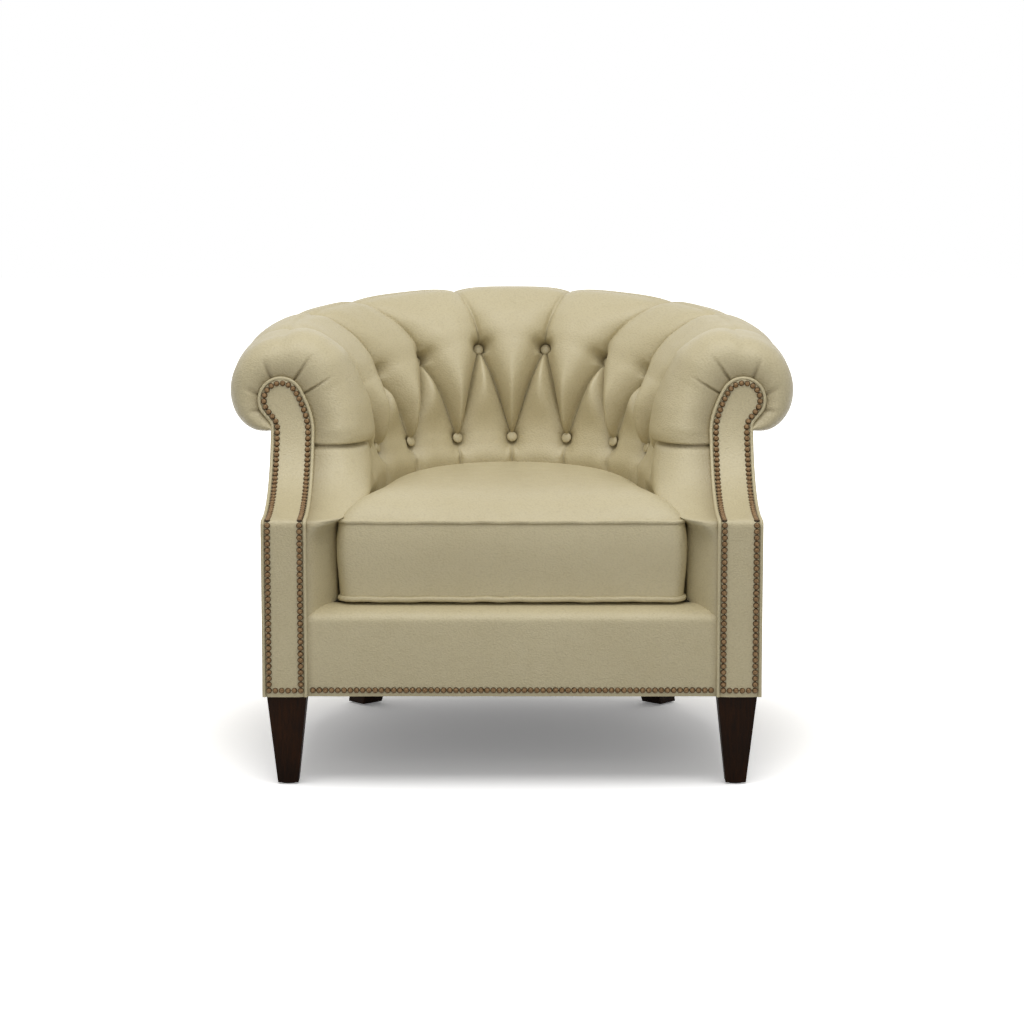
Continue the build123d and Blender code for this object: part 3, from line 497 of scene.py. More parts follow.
lower_along = [*np.radians(lower_turns) * fold_r, quarter + last_button]
upper_along = list(np.radians(upper_turns) * fold_r)
stations = sorted(lower_along + upper_along)
half_along = []
for start, end in zip(stations, stations[1:]):
    half_along += list(np.linspace(start, end, columns_per_fold, endpoint=False))
half_along += list(np.linspace(stations[-1], arm_end, arm_columns))
along = np.array([-a for a in half_along[:0:-1]] + half_along)


def smooth(x, low, high):
    share = np.clip((np.asarray(x, float) - low) / (high - low), 0.0, 1.0)
    return share * share * (3 - 2 * share)


def unit(ways):
    return ways / np.linalg.norm(ways, axis=1)[:, None]


def smooth_line(points, count):
    """A smooth line through a few (radius, height) points, evenly spaced, without its last point."""
    points = np.array(points)
    ends = np.vstack([2 * points[0] - points[1], points, 2 * points[-1] - points[-2]])
    fine = []
    for p0, p1, p2, p3 in zip(ends, ends[1:], ends[2:], ends[3:]):
        t = np.linspace(0, 1, 60, endpoint=False)[:, None]
        fine.append(0.5 * (2 * p1 + (p2 - p0) * t + (2 * p0 - 5 * p1 + 4 * p2 - p3) * t ** 2
                           + (3 * p1 - p0 - 3 * p2 + p3) * t ** 3))
    return spaced(np.vstack(fine + [points[-1:]]), count, endpoint=False)


# The wall's plain line at the level of the button pits, from the deck over the roll to its underside.
notch = 0.011  # how far the leather is pulled in where pleats cross the crest
deck_r, low_r, valley_r, band_r = 0.252, 0.257, 0.262, 0.287
upper_r, bend_r, shoulder_r = 0.318, 0.338, 0.361
underside_drop = 0.060
roll_z = crest_z - roll_r
valley_front = valley_z + valley_rise
lower_levels = front_levels(deck_z + 0.002, valley_front, rows_lower + 1)[:-1]
lower_levels = deck_z + (lower_levels - deck_z) * (valley_z - deck_z) / (valley_front - deck_z)
lower_radii = np.interp(lower_levels, [deck_z, valley_z - 0.08, valley_z], [deck_r, low_r, valley_r])
lower_line = np.stack([lower_radii, lower_levels], axis=1)
band_line = smooth_line([(valley_r, valley_z), (band_r, valley_z + 0.075), (upper_r, upper_z)], rows_band)
upper_line = smooth_line([(upper_r, upper_z), (bend_r, upper_z + 0.055), (shoulder_r, crest_z - 0.024),
                          (roll_centre_r, crest_z - notch)], rows_upper)
over_line = []
for angle in np.radians(np.linspace(90, -90, rows_over)):
    centre, drop = (roll_centre_r, roll_r - notch) if angle > 0 else (side_half, underside_drop)
    wide = roll_outer - notch - centre
    over_line.append((centre + wide * math.cos(angle), roll_z + drop * math.sin(angle)))
profile = np.vstack([lower_line, band_line, upper_line, over_line])
rows = len(profile)
row_index = np.arange(rows)
valley_row, upper_row = rows_lower, rows_lower + rows_band
crest_row = upper_row + rows_upper
climbed = lengths_along(profile)
above = climbed - climbed[valley_row]  # length up the leather from the lower row of buttons
band_at = above[upper_row]
crest_at = above[crest_row]
hem_at = above[-1]
tangent = unit(np.gradient(profile, above, axis=0))
out_of_wall = np.stack([-tangent[:, 1], tangent[:, 0]], axis=1)

# Plumpness of the leather by its length up the wall: pouches hang from above a fold, leaves rise from below.
span, climb = np.meshgrid(along, above, indexing="ij")
pouch = np.interp(climb, [-0.01, 0.012, 0.04, 0.085, band_at, band_at + 0.03, band_at + 0.06,
                          band_at + 0.095, crest_at, hem_at - 0.03, hem_at],
                  [0.026, 0.040, 0.058, 0.069, 0.062, 0.057, 0.045, 0.026, notch, notch, 0.003])
leaf = np.interp(climb, [above[0], above[0] + 0.06, -0.06, -0.03, 0.0, 0.03, 0.075, 0.11, band_at],
                 [0.006, 0.014, 0.026, 0.031, 0.014, 0.020, 0.047, 0.058, 0.043])
arm_pouch = np.interp(climb, [-0.01, 0.012, 0.03, 0.085, band_at, band_at + 0.05, band_at + 0.09,
                              crest_at, hem_at - 0.06, hem_at - 0.03, hem_at],
                      [0.022, 0.031, 0.037, 0.047, 0.056, 0.055, 0.041, 0.015, 0.017, 0.014, 0.003])
arm_leaf = np.interp(climb, [above[0], above[0] + 0.06, -0.03, 0.0], [0.006, 0.014, 0.020, 0.016])
on_arm = smooth(np.abs(span), quarter - 0.03, quarter + 0.5 * arm_leather)
pouch = pouch + (arm_pouch - pouch) * on_arm
leaf = leaf + (arm_leaf - leaf) * on_arm
ridge = np.interp(np.abs(span), stations, [0 if s in lower_along else band_at for s in stations])
swell = np.where(climb > ridge, pouch, leaf)

# Folds between the buttons, pleats above and below them and pits under them hold the leather down.
pit_flat = 0.011  # leather pressed flat under a button
upper_pit, lower_pit = 0.032, 0.040  # reach of a pit beyond that
fold_width, fold_held = 0.046, 0.010  # a fold's reach, and its height halfway between two buttons
pleat_widths = [0.056, 0.034]  # at the upper buttons and at the crest
seat_pleat_width = 0.030
arm_pleat_width = 0.032
folds, nearest = [], np.full(span.shape, 1.0)


def plump(distance, held, width):
    """Leather height beside a fold: steep where it is held down and rounded at the top."""
    share = np.clip(distance / width, 0, 1)
    return held + (swell - held) * np.sqrt(1 - (1 - share) ** 2)


def beside(a0, b0, a1, b1):
    """Distance to a straight fold, and how far along it the nearest place is."""
    da, db = a1 - a0, b1 - b0
    share = np.clip(((span - a0) * da + (climb - b0) * db) / (da * da + db * db), 0, 1)
    return np.hypot(span - a0 - share * da, climb - b0 - share * db), share


def lay_fold(distance, held, width):
    folds.append(plump(distance, held, width))
    np.minimum(nearest, distance, out=nearest)


def press_pit(a, b, width):
    folds.append(plump(np.maximum(np.hypot(span - a, climb - b) - pit_flat, 0), 0.0, width))


for sign in (-1, 1):
    for start, end in zip(stations, stations[1:]):
        b0, b1 = (0, band_at) if start in lower_along else (band_at, 0)
        distance, share = beside(sign * start, b0, sign * end, b1)
        lay_fold(distance, fold_held * (1 - np.abs(2 * share - 1) ** 3), fold_width)
    for a in upper_along:
        distance, share = beside(sign * a, band_at, sign * a, hem_at)
        held = np.interp(band_at + share * (hem_at - band_at),
                         [band_at, band_at + 0.03, band_at + 0.07, crest_at, hem_at],
                         [0.0, 0.35, 0.45, 0.15, 0.60])
        lay_fold(distance, swell * held, np.interp(climb, [band_at, crest_at], pleat_widths))
        press_pit(sign * a, band_at, upper_pit)
    for a in lower_along[:-1]:
        distance, share = beside(sign * a, 0, sign * a, above[0])
        held = np.interp(share * -above[0], [0, 0.02, 0.06, 0.2], [0, 0.4, 0.6, 0.85])
        lay_fold(distance, swell * held, seat_pleat_width)
    for a in lower_along:
        press_pit(sign * a, 0, lower_pit)
    distance, share = beside(sign * lower_along[-1], 0, sign * (arm_end + 0.02), 0)
    held = np.interp(share, [0, 0.15, 0.5, 1], [0, 0.35, 0.5, 0.55])
    lay_fold(distance, swell * held, arm_pleat_width)
height = np.min(folds, axis=0)
softening_rounds = 8
softened = height
for _ in range(softening_rounds):
    soft = np.pad(softened, 1, mode="edge")
    softened = (2 * softened + soft[:-2, 1:-1] + soft[2:, 1:-1] + soft[1:-1, :-2] + soft[1:-1, 2:]) / 6
height = height + (softened - height) * smooth(nearest, 0.002, 0.016)

# Places of the leather's points: the plain line of the wall, then the swelling out of it.
petal_droop = 0.35  # share of its height by which a petal sags over the lower row
drift = np.interp(np.abs(span), [0, *upper_along, arm_end], [0, *np.radians(crest_turns) * fold_r, arm_end])
moved = np.abs(span) + (drift - np.abs(span)) * smooth(climb, band_at, crest_at)
turn = np.degrees(np.minimum(moved, quarter) / fold_r) * np.sign(span)
arm_share = np.clip((moved - quarter) / arm_leather, 0, 1)
valley = valley_z + valley_rise * smooth(arm_share, 0.26, 0.75)
front_crest = crest_height(90.0, 0.07) + arm_lift
front_low = deck_z + (profile[:, 1] - deck_z) * (valley_front - deck_z) / (valley_z - deck_z)
front_row = upper_z - upper_row_fall * (90 - upper_turns[0]) + nose_rise
front_mid = np.interp(profile[:, 1], [valley_z, upper_z, crest_z], [valley_front, front_row, front_crest])
front_z = np.where(row_index < valley_row, front_low,
                   np.where(row_index < crest_row, front_mid, profile[:, 1] - crest_z + front_crest))
nose_reach = np.interp(above, [above[0], -0.075, -0.02, 0.05, 0.10, band_at, crest_at, hem_at],
                       [0.070, 0.070, 0.080, 0.095, 0.095, 0.085, 0.060, 0.020])
arm_length = arm_run - front_depth(front_z) - nose_reach
forward = arm_share * arm_length[None, :]
crest = crest_height(turn, forward) + arm_lift * smooth(np.abs(turn), 40, 90)
level = profile[None, :, 1]
z_low = deck_z + (level - deck_z) * (valley - deck_z) / (valley_z - deck_z)
row_z = upper_z - upper_row_fall * np.maximum(np.abs(turn) - upper_turns[0], 0)
row_z = row_z + nose_rise * smooth(arm_share, 0.1, 1.0)
z_band = valley + (level - valley_z) * (row_z - valley) / (upper_z - valley_z)
z_upper = row_z + (level - upper_z) * (crest - row_z) / (crest_z - upper_z)
z_mid = np.where(row_index < upper_row, z_band, z_upper)
z = np.where(row_index < valley_row, z_low, np.where(row_index < crest_row, z_mid, level - crest_z + crest))
radius = profile[None, :, 0] + height * out_of_wall[None, :, 0]
droop = petal_droop * height * np.where(climb > ridge, 1 - smooth(climb, 0.02, 0.10), 0.0)
z = z + height * out_of_wall[None, :, 1] - droop

# Beside the cushion the arms stand wider towards the front, as the cushion does.
cushion_half = 0.288
cushion_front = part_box("cushion_cover")[0].y
cushion_back_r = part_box("cushion_cover")[1].y - y_centre
beside_cushion = np.interp(forward, [0, y_centre - cushion_front],
                           [cushion_back_r + 0.010, cushion_half + 0.006])
clear_low_z, clear_high_z = 0.425, 0.465  # the arms are free of the cushion between these heights
wider = np.maximum(beside_cushion - radius, 0) * (1 - smooth(z, clear_low_z, clear_high_z)) * (arm_share > 0)
x, y = horseshoe(radius + wider, turn, forward)
body_points = np.stack([x, y, z], axis=2)

# Nose of each arm: the leather turns in from the arm's section to the edge of the facing.
facing_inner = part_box("facing_welt_right")[0].x
head_x, head_z, head_r = roll_centre_r, block_z + 0.175, 0.038
neck_inner, neck_outer = 0.052, 0.045  # below these, under its head, the facing's sides are upright


def ease(p, p_way, q, q_way):
    """A curve between two points that leaves and arrives along given ways."""
    t = np.linspace(0, 1, 24)[:, None]
    pull = np.linalg.norm(np.subtract(q, p)) * 0.9
    leave = (t ** 3 - 2 * t ** 2 + t) * np.array(p_way) * pull
    arrive = (t ** 3 - t ** 2) * np.array(q_way) * pull
    over = 3 * t ** 2 - 2 * t ** 3
    return (1 - over) * np.array(p) + leave + over * np.array(q) + arrive


def facing_route(grow, count):
    """Front view of a facing's edge, from its inner foot over the scroll to its outer foot."""
    radius = head_r + grow
    inner, outer = facing_inner - grow, side_half + grow
    arc = np.radians(np.linspace(150, -25, 60))
    head = np.stack([head_x + radius * np.cos(arc), head_z + radius * np.sin(arc)], axis=1)
    rise = ease((inner, head_z - neck_inner), (0, 1), head[0], (math.sin(arc[0]), -math.cos(arc[0])))
    neck = ease(head[-1], (math.sin(arc[-1]), -math.cos(arc[-1])), (outer, head_z - neck_outer), (0, -1))
    return spaced(np.vstack([[(inner, base_z)], rise, head[1:], neck[1:], [(outer, base_z)]]), count)


edge = facing_route(0.0, 1200)
edge_run = lengths_along(edge)
neck_at = edge_run[np.argmax((edge[:, 0] > head_x) & (edge[:, 1] < head_z - neck_outer + 0.001))]
turned_in = np.where(row_index < valley_row, front_low - base_z,
                     np.interp(above, [0, crest_at, hem_at],
                               [valley_front - base_z, edge_run[np.argmax(edge[:, 1])], neck_at]))
border = np.stack([np.interp(turned_in, edge_run, edge[:, k]) for k in (0, 1)], axis=1)
round_head = np.degrees(np.arctan2(border[:, 1] - head_z, head_x - border[:, 0])) % 360
over_head = (row_index >= valley_row) & (round_head < 235)
scroll_pleats = np.interp((14, 56, 115, 167, 208), round_head[over_head], above[over_head])
gather = np.exp(-((above[:, None] - scroll_pleats[None, :]) / 0.0028) ** 2).sum(axis=1)
crease = np.exp(-(above / 0.0035) ** 2)
full = np.interp(above, [-0.10, 0.0, 0.05, 0.10, band_at, crest_at],
                 [0.004, 0.012, 0.024, 0.020, 0.011, 0.005])
flat = 1 - smooth(border[:, 1], block_z - 0.04, block_z + 0.005)
border[0, 1] -= rail_edge  # the block's inside leather ends in the rail's rounded edge
gather_depth = 0.0060
crease_depth = 0.007
edge_tuck = 0.004  # the leather's edge lies this far under the facing
nose_steps = np.linspace(0, 1, nose_columns + 1)[1:]


def nose(end, sign):
    """Columns from the end of an arm to the edge of its facing."""
    section = end[:, [0, 2]] * [sign, 1]
    columns = []
    for w in nose_steps:
        angle = w * math.pi / 2
        left_over = math.cos(angle) ** 0.85 * (1 - flat) + (1 - w) * flat
        gone = math.sin(angle) * (1 - flat) + w * flat
        place = border + (section - border) * left_over[:, None]
        front = y_front + front_depth(place[:, 1])
        pushed = full * math.sin(math.pi * w ** 1.6) - edge_tuck * w ** 6
        pulled = gather_depth * gather * smooth(w, 0.55, 0.95) + crease_depth * crease * smooth(w, 0.0, 0.3)
        y = end[:, 1] + (front - end[:, 1]) * gone - pushed + pulled * math.sin(angle)
        x = place[:, 0] + pulled * math.cos(angle)
        columns.append(np.stack([sign * x, y, place[:, 1]], axis=1))
    return columns


all_columns = [*nose(body_points[0], -1)[::-1], *body_points, *nose(body_points[-1], 1)]
held_down = height / np.maximum(swell, 0.008)
# Painted shade: darker in the folds and pleats, more broadly beside the folds round the lower row, and in the
# nose's pleats, crease and at its edge under the facing.
fold_shade = np.clip((0.45 - held_down) / 0.45, 0, 1) ** 1.2 * np.interp(climb, [band_at, crest_at], [1, 0.3])
shade_band = np.interp(climb, [-0.04, 0.0, 0.08, band_at], [0, 1, 1, 0])
fold_shade = np.maximum(fold_shade, 0.28 * np.clip((0.95 - held_down) / 0.45, 0, 1) * shade_band)
nose_shade = [np.clip(0.7 * w ** 10 + 0.7 * gather * smooth(w, 0.55, 0.95) + 0.8 * crease, 0, 1)
             for w in nose_steps]
painted_shade_and_seams = [*nose_shade[::-1], *fold_shade, *nose_shade]
faces = []
middle = nose_columns + (len(along) - 1) // 2
for i in range(len(all_columns) - 1):
    part = (i - middle if i >= middle else middle - 1 - i) // columns_per_fold
    rising = (part % 2 == 0) == (i >= middle)
    for j in range(rows - 1):
        a, b, c, d = i * rows + j, (i + 1) * rows + j, (i + 1) * rows + j + 1, i * rows + j + 1
        if valley_row <= j < upper_row and part < len(stations) - 1:
            faces += [(a, b, c), (a, c, d)] if rising else [(a, b, d), (b, c, d)]
        else:
            faces.append((a, b, c, d))
tufted = mesh_piece("tufted_inside_leather", np.concatenate(all_columns), faces, leather,
                    np.concatenate(painted_shade_and_seams))
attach(tufted, "chair")
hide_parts("rolled_top_pad", "inside_back_pad")

# Covered buttons.
# Leather pressed over tin shells, pulled into the folds by waxed twine tied to the webbing behind.
button_r = 0.0093
button_rise = 0.0036
button_seat = 0.008  # the shell's widest ring stands this far out of the pit
button_slope = 0.34  # the buttons look up by this much for each part forward
button_rings, button_sides = 9, 28
button_edge = math.radians(118)  # the leather is drawn round behind the shell


def dome(radius, rise, angles, sides):
    """Points of a dome, its top first and then ring by ring, and its faces."""
    points = [(0.0, 0.0, rise)]
    for angle in angles:
        wide = radius * math.sin(angle)
        for k in range(sides):
            swing = 2 * math.pi * k / sides
            points.append((wide * math.cos(swing), wide * math.sin(swing), rise * math.cos(angle)))
    fan = [(0, 1 + k, 1 + (k + 1) % sides) for k in range(sides)]
    return points, fan + grid_faces(len(angles), sides, tube=True, first=1)


shell_angles = [button_edge * ring / button_rings for ring in range(1, button_rings + 1)]
shell, shell_faces = dome(button_r, button_rise, shell_angles, button_sides)
# Painted shade round the back of each shell, where the leather is drawn behind it.
shell_shade = [0.0]
for ring in range(1, button_rings + 1):
    shell_shade += [max(0.0, (ring - 6) / 6)] * button_sides
button_places = [(sign * a, row) for sign in (-1, 1)
                 for row, places in ((valley_row, lower_along), (upper_row, upper_along))
                 for a in places if a > 0 or sign > 0]
button_points, button_faces = [], []
for a, row in button_places:
    spot = Vector(all_columns[nose_columns + int(np.argmin(np.abs(along - a)))][row])
    bend = max(-math.pi / 2, min(math.pi / 2, a / fold_r))
    out = Vector((-math.sin(bend), -math.cos(bend), button_slope)).normalized()
    side = out.cross(Vector((0, 0, 1))).normalized()
    over = side.cross(out)
    first = len(button_points)
    button_points += [spot + side * u + over * v + out * (w + button_seat) for u, v, w in shell]
    button_faces += [[first + corner for corner in face] for face in shell_faces]
buttons = mesh_piece("covered_buttons", button_points, button_faces, leather, shell_shade * len(button_places))
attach(buttons, "chair")
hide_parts("tufting_buttons")

# Arm facings.
# Shaped boards covered in hide, bent to the swoop of the arm front and nailed on over the gathered leather;
# a narrow leather welt frames each one.
facing_t = 0.010
facing_puff = 0.0028
facing_rows, facing_columns, head_rows = 150, 17, 24
facing_margin = 0.003  # the board ends this far inside the facing's edge
welt_margin = 0.0015
welt_r = 0.0032
welt_steps, welt_sides = 420, 10


def front_slope(z):
    """How far the arm front falls back for each metre up."""
    half_step = 0.0005
    return (front_depth(z + half_step) - front_depth(z - half_step)) / (2 * half_step)


def tube_points(spine, side, over, radius, sides):
    """Rings of points round a line, by two directions square to it."""
    swing = np.linspace(0, 2 * math.pi, sides, endpoint=False)[None, :, None]
    round_about = side[:, None] * np.cos(swing) + over[:, None] * np.sin(swing)
    return (spine[:, None] + round_about * radius).reshape(-1, 3)


board = facing_route(-facing_margin, 900)
peak = int(np.argmax(board[:, 1]))
head_levels = head_z + (board[peak, 1] - head_z) * np.sin(np.linspace(0, math.pi / 2, head_rows))
facing_levels = np.concatenate([front_levels(base_z, head_z, facing_rows)[:-1], head_levels])
share = np.concatenate([[0.0], np.linspace(0, 1, facing_columns), [1.0]])  # across, with the board's edges
puff = facing_puff * (1 - (2 * share - 1) ** 4)
puff[[0, -1]] -= facing_t
x0, x1 = (np.interp(facing_levels, side[:, 1], side[:, 0])[:, None]
          for side in (board[:peak + 1], board[peak:][::-1]))
slope = front_slope(facing_levels)[:, None]
lean_back = 1 / np.hypot(1, slope)
facing_y = y_front + front_depth(facing_levels)[:, None] - puff * lean_back
facing_z = facing_levels[:, None] + puff * slope * lean_back
facing_points = np.stack([x0 + (x1 - x0) * share, facing_y, facing_z], axis=2).reshape(-1, 3)
# Painted shade along both edges of each facing, where they turn under the welt.
facing_edge_shade = np.tile(0.6 * np.abs(2 * share - 1) ** 14, len(facing_levels))
facing_faces = grid_faces(len(facing_levels), len(share))
for sign, word in ((-1, "left"), (1, "right")):
    facing = mesh_piece(f"arm_facing_leather_{word}", facing_points * [sign, 1, 1], facing_faces, leather,
                        facing_edge_shade)
    if sign > 0:
        facing.data.flip_normals()
    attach(facing, "chair")
    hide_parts(f"arm_facing_{word}")

    path = facing_route(-welt_margin, welt_steps)
    spine = np.stack([sign * path[:, 0], y_front + front_depth(path[:, 1]), path[:, 1]], axis=1)
    way = unit(np.gradient(spine, axis=0))
    side = unit(np.cross(way, (0, -1, 0.2)))
    welt_points = tube_points(spine, side, np.cross(side, way), welt_r, welt_sides)
    welt_faces = [(a, d, c, b) for a, b, c, d in grid_faces(welt_steps, welt_sides, tube=True)]
    welt = mesh_piece(f"facing_welt_leather_{word}", welt_points, welt_faces, leather)
    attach(welt, "chair")
    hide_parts(f"facing_welt_{word}")

# Nail trim.
# Domed antique bronze upholstery nails, set head to head by hand along the facings and the bottom edge of
# the base, so no two sit quite alike.
nail_r = 0.00505
nail_rise = 0.0052
nail_pitch = 0.0101
base_nail_pitch = 0.0105
nail_inset = 0.0095  # facing edge to the nail line
nail_z = base_z + 0.0105  # the lowest nail line
nail_tilt = 0.055  # radians
nail_sides = 12
nail_angles = np.radians((24, 48, 70, 90))


def make_bronze():
    """Oxidised bronze: patchy brown, with painted shade that leaves the crown bright and the rim nearly
    black.
    """
    material, shader, coords = new_finish("antique_bronze", 0.34, metallic=0.08, shine=0.20)
    patina = spread(noise(coords, 420.0, 4.0, 0.65), 0.36, 0.66)
    colour = blend_colours(patina, (0.150, 0.082, 0.033, 1), (0.400, 0.255, 0.125, 1))
    # Painted shade: each head darkens from its crown towards its rim, nearly to black.
    rim = node(coords.id_data, "ShaderNodeAttribute", attribute_name="painted_shade_and_seams").outputs["Fac"]
    colour = blend_colours(spread(rim, 0.05, 0.65, 0.0, 0.97), colour, (0.010, 0.005, 0.002, 1))
    feed(shader.inputs["Base Color"], colour)
    feed(shader.inputs["Roughness"], spread(patina, 0.0, 1.0, 0.55, 0.30))
    relief(shader, noise(coords, 900.0, 3.0), 0.0003, 0.5)
    return material


bronze = make_bronze()
head_points, head_faces = dome(nail_r, nail_rise, nail_angles, nail_sides)
# Painted shade on each head, from none at the crown to full at the rim.
head_shade = [0.0]
for ring in range(len(nail_angles)):
    head_shade += [(ring / 3) ** 1.5] * nail_sides
nail_head = mesh_piece("nail_head", head_points, head_faces, bronze, head_shade)


def nail_tree():
    """Sets a nail head on every point, square to its own direction, each a little tilted and turned."""
    group = bpy.data.node_groups.new("nail_trim", "GeometryNodeTree")
    for name, way, kind in (("Geometry", "INPUT", "Geometry"), ("Nail", "INPUT", "Object"),
                            ("Tilt", "INPUT", "Float"), ("Material", "INPUT", "Material"),
                            ("Geometry", "OUTPUT", "Geometry")):
        group.interface.new_socket(name, in_out=way, socket_type="NodeSocket" + kind)
    enter = group.nodes.new("NodeGroupInput").outputs
    out = node(group, "GeometryNodeInputNamedAttribute", data_type="FLOAT_VECTOR", Name="out")
    align = node(group, "FunctionNodeAlignRotationToVector", axis="Z", Vector=out.outputs["Attribute"])
    tilt = node(group, "FunctionNodeRandomValue", data_type="FLOAT_VECTOR", Seed=7)
    for bound, share in (("Min", (-1, -1, -20)), ("Max", (1, 1, 20))):
        scale = node(group, "ShaderNodeVectorMath", operation="SCALE", Scale=enter["Tilt"])
        feed(tilt.inputs[bound], wire(scale, share))
    nudge = wire(node(group, "FunctionNodeEulerToRotation"), tilt.outputs["Value"])
    turned = wire(node(group, "FunctionNodeRotateRotation", rotation_space="LOCAL"), align.outputs[0], nudge)
    shape = node(group, "GeometryNodeObjectInfo", Object=enter["Nail"])
    place = node(group, "GeometryNodeInstanceOnPoints", Points=enter["Geometry"],
                 Instance=shape.outputs["Geometry"], Rotation=turned)
    solid = wire(node(group, "GeometryNodeRealizeInstances"), place.outputs[0])
    coat = node(group, "GeometryNodeSetMaterial", Geometry=solid, Material=enter["Material"])
    feed(group.nodes.new("NodeGroupOutput").inputs[0], coat.outputs[0])
    return group


trim_tree = nail_tree()


def set_nails(name, places, outs, node_name):
    """A row of nails as one plain mesh."""
    mesh = bpy.data.meshes.new(name + "_marks")
    mesh.from_pydata([tuple(p) for p in places], [], [])
    directions = np.asarray(outs, np.float32).ravel()
    mesh.attributes.new("out", "FLOAT_VECTOR", "POINT").data.foreach_set("vector", directions)
    marks = add_object(name + "_marks", mesh)
    modifier = marks.modifiers.new("nails", "NODES")
    modifier.node_group = trim_tree
    settings = {"Nail": nail_head, "Tilt": nail_tilt, "Material": bronze}
    for item in trim_tree.interface.items_tree:
        if item.name in settings:
            modifier[item.identifier] = settings[item.name]
    view = bpy.context.evaluated_depsgraph_get()
    solid = bpy.data.meshes.new_from_object(marks.evaluated_get(view))
    bpy.data.objects.remove(marks)
    solid.shade_smooth()
    nails = add_object(name, solid)
    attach(nails, "chair")
    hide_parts(node_name)


def even_steps(line, pitch):
    """Places along a line about one pitch apart, both ends included."""
    return spaced(line, int(lengths_along(line)[-1] / pitch) + 1)


for sign, word in ((-1, "left"), (1, "right")):
    route = facing_route(-nail_inset, 1600)
    route = route[route[:, 1] >= nail_z]
    nail_y = y_front + front_depth(route[:, 1]) - 0.002
    places = even_steps(np.stack([sign * route[:, 0], nail_y, route[:, 1]], axis=1), nail_pitch)
    foot = even_steps([places[0], places[-1]], nail_pitch)[1:-1]
    places = np.vstack([places, foot])
    outs = [(0, -1, slope) for slope in front_slope(places[:, 2])]
    set_nails(f"facing_nail_trim_{word}", places, outs, f"facing_nails_{word}")
row_end = facing_inner - nail_r - 0.005
row_y = y_front + 0.003
rail_row = even_steps([(-row_end, row_y, nail_z), (row_end, row_y, nail_z)], nail_pitch)
set_nails("front_rail_nail_trim", rail_row, [(0, -1, 0)] * len(rail_row), "front_rail_nails")
hem_r = side_half - skin_inset
hem_start = y_front + facing_t + nail_r + 0.002
hem_bend = [(*horseshoe(hem_r, bend, 0.0), nail_z) for bend in np.linspace(-90, 90, 361)]
base_row = even_steps([(-hem_r, hem_start, nail_z), *hem_bend, (hem_r, hem_start, nail_z)], base_nail_pitch)
outs = [(p[0], max(0.0, p[1] - y_centre), 0) for p in base_row]
set_nails("base_nail_trim", base_row, outs, "base_nails")
bpy.data.objects.remove(nail_head)

# Seat cushion.
# A loose foam cushion in boxed hide: crowned top, straight boxing that swells a little in front, a welt in
# both seams and a zip across the round back.
cover_low_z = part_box("cushion_cover")[0].z
welt_low_z, welt_high_z = (sum(corner.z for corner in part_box(f"cushion_welt_{name}")) / 2
                           for name in ("lower", "upper"))
crown = 0.0475
crown_round = 0.045
corner_r = 0.030
box_swell = 0.008
seam_steps = 420
top_pucker, box_pucker, welt_pucker = 0.0011, 0.0009, 0.0007
welt_stand = 0.0015
piping_sides = 12


def cushion_plan(count):
    """Points round the cushion's seam: straight front, sides that close in, round back."""
    away = cushion_front - y_centre
    reach_to = math.hypot(cushion_half, away)
    touch = math.atan2(away, cushion_half) + math.acos(cushion_back_r / reach_to)
    tx, ty = cushion_back_r * math.cos(touch), y_centre + cushion_back_r * math.sin(touch)
    side = Vector((tx - cushion_half, ty - cushion_front)).normalized()
    corner = Vector((cushion_half, cushion_front))
    opening = math.acos(max(-1, min(1, side.dot(Vector((-1, 0))))))
    cut = corner_r / math.tan(opening / 2)
    p0, p1 = corner + Vector((-cut, 0)), corner + side * cut
    bow = [(1 - t) ** 2 * p0 + 2 * t * (1 - t) * corner + t * t * p1 for t in np.linspace(0, 1, 24)]
    right = [(0.0, cushion_front)] + [tuple(p) for p in bow] + [(tx, ty)]
    right += [(cushion_back_r * math.cos(a), y_centre + cushion_back_r * math.sin(a))
              for a in np.linspace(touch, math.pi / 2, 60)[1:]]
    left = [(-px, py) for px, py in right[-2:0:-1]]
    return spaced(np.array(right + left + [right[0]]), count, endpoint=False)


seam = cushion_plan(seam_steps)
heart = np.array([0.0, (cushion_front + y_centre + cushion_back_r) / 2 + 0.02])
seam_in = heart - seam
reach_in = np.linalg.norm(seam_in, axis=1)
seam_in /= reach_in[:, None]
round_seam = np.arange(seam_steps) * 2 * math.pi / seam_steps
pucker = 0.6 * np.sin(23 * round_seam + 2 * np.sin(5 * round_seam)) + 0.4 * np.sin(41 * round_seam + 1.3)


def cushion_ring(places, ring_z):
    return np.column_stack([places, np.full(seam_steps, 1.0) * ring_z])


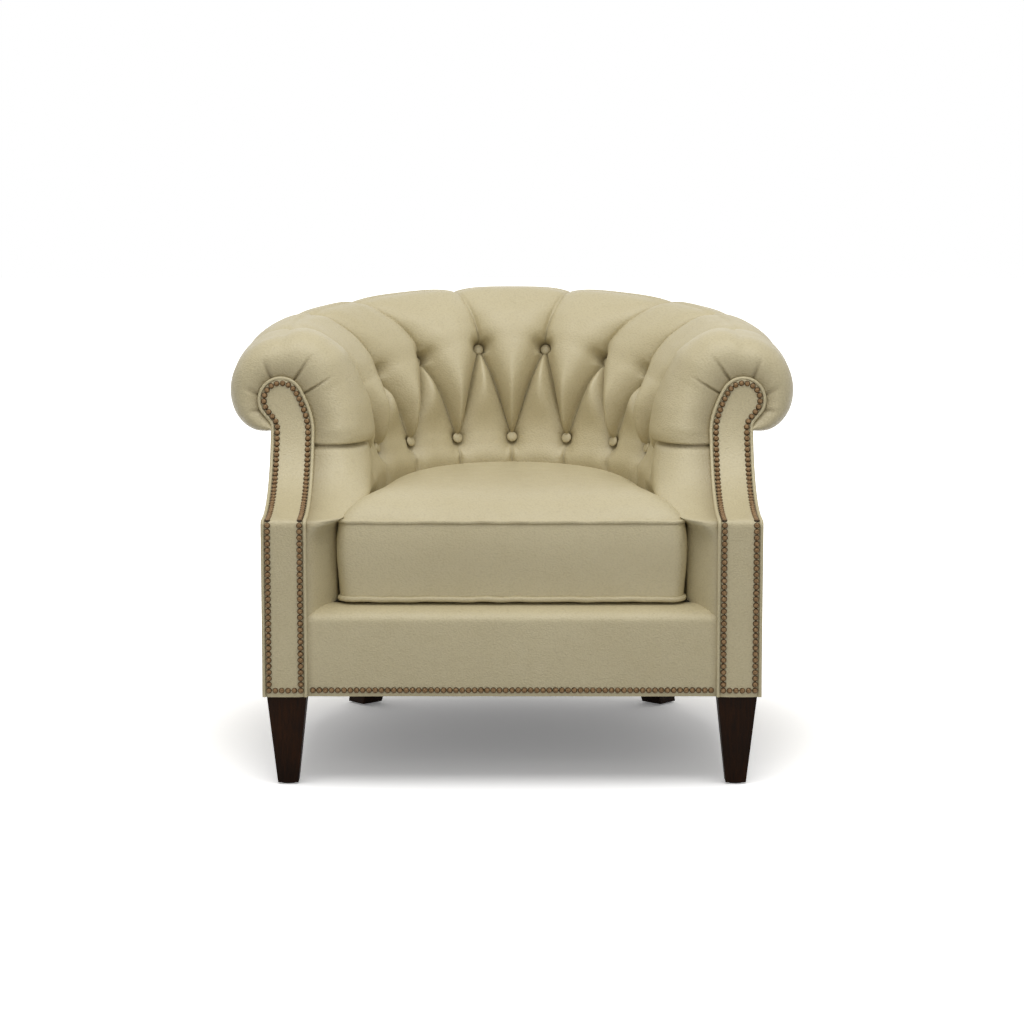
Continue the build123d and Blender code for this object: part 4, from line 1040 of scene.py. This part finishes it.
cushion_rings = []
for share in np.linspace(0.004, 1, 60) ** 0.8:
    rise = crown * (1 - np.exp(-(1 - share) * reach_in / crown_round))
    by_seam = math.exp(-((1 - share) / 0.09) ** 2)
    gathered = top_pucker * pucker * by_seam * (1 - by_seam)
    cushion_rings.append(cushion_ring(heart + (seam - heart) * share, welt_high_z + rise + gathered))
for up in np.linspace(1, 0, 26)[1:-1]:
    bulge = box_swell * math.sin(math.pi * up ** 1.6) ** 0.8 * smooth(seam_in[:, 1], 0.3, 0.8)
    side_in = -bulge + box_pucker * pucker * (abs(2 * up - 1) ** 3)
    box_z = welt_low_z + (welt_high_z - welt_low_z) * up
    cushion_rings.append(cushion_ring(seam + seam_in * side_in[:, None], box_z))
for share in np.linspace(1, 0.004, 24):
    under_z = welt_low_z - (welt_low_z - cover_low_z) * (1 - share ** 8)
    cushion_rings.append(cushion_ring(heart + (seam - heart) * share, under_z))
last_ring = (len(cushion_rings) - 1) * seam_steps
cushion_faces = grid_faces(len(cushion_rings), seam_steps, tube=True)
cushion_faces.append(range(seam_steps))
cushion_faces.append(range(last_ring + seam_steps - 1, last_ring - 1, -1))
cushion = mesh_piece("cushion_leather", np.concatenate(cushion_rings), cushion_faces, leather)
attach(cushion, "cushion")
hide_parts("cushion_cover")

for name, welt_z, cord_r in (("lower", welt_low_z, 0.0046), ("upper", welt_high_z, 0.0035)):
    spine = np.column_stack([seam - seam_in * welt_stand, welt_z + welt_pucker * pucker])
    tube = tube_points(spine, cushion_ring(-seam_in, 0.0), np.array([[0.0, 0.0, 1.0]]), cord_r, piping_sides)
    tube_faces = grid_faces(seam_steps, piping_sides, closed=True, tube=True)
    piping = mesh_piece(f"cushion_piping_{name}", tube, tube_faces, leather)
    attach(piping, "cushion")
    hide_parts(f"cushion_welt_{name}")
dress(["zip_tape"], weave("zip_tape_cloth", (0.17, 0.14, 0.09, 1), (0.26, 0.22, 0.15, 1), threads=700.0))
dress(["zip_coil", "zip_slider"],
      metal("antique_brass_zip", (0.16, 0.11, 0.05, 1), (0.40, 0.30, 0.15, 1), roughness=0.34))
dress(["cushion_core"], speckled("cushion_foam", (0.62, 0.56, 0.38, 1), (0.78, 0.73, 0.55, 1),
                                 roughness=0.9, scale=500.0, detail=3.0))
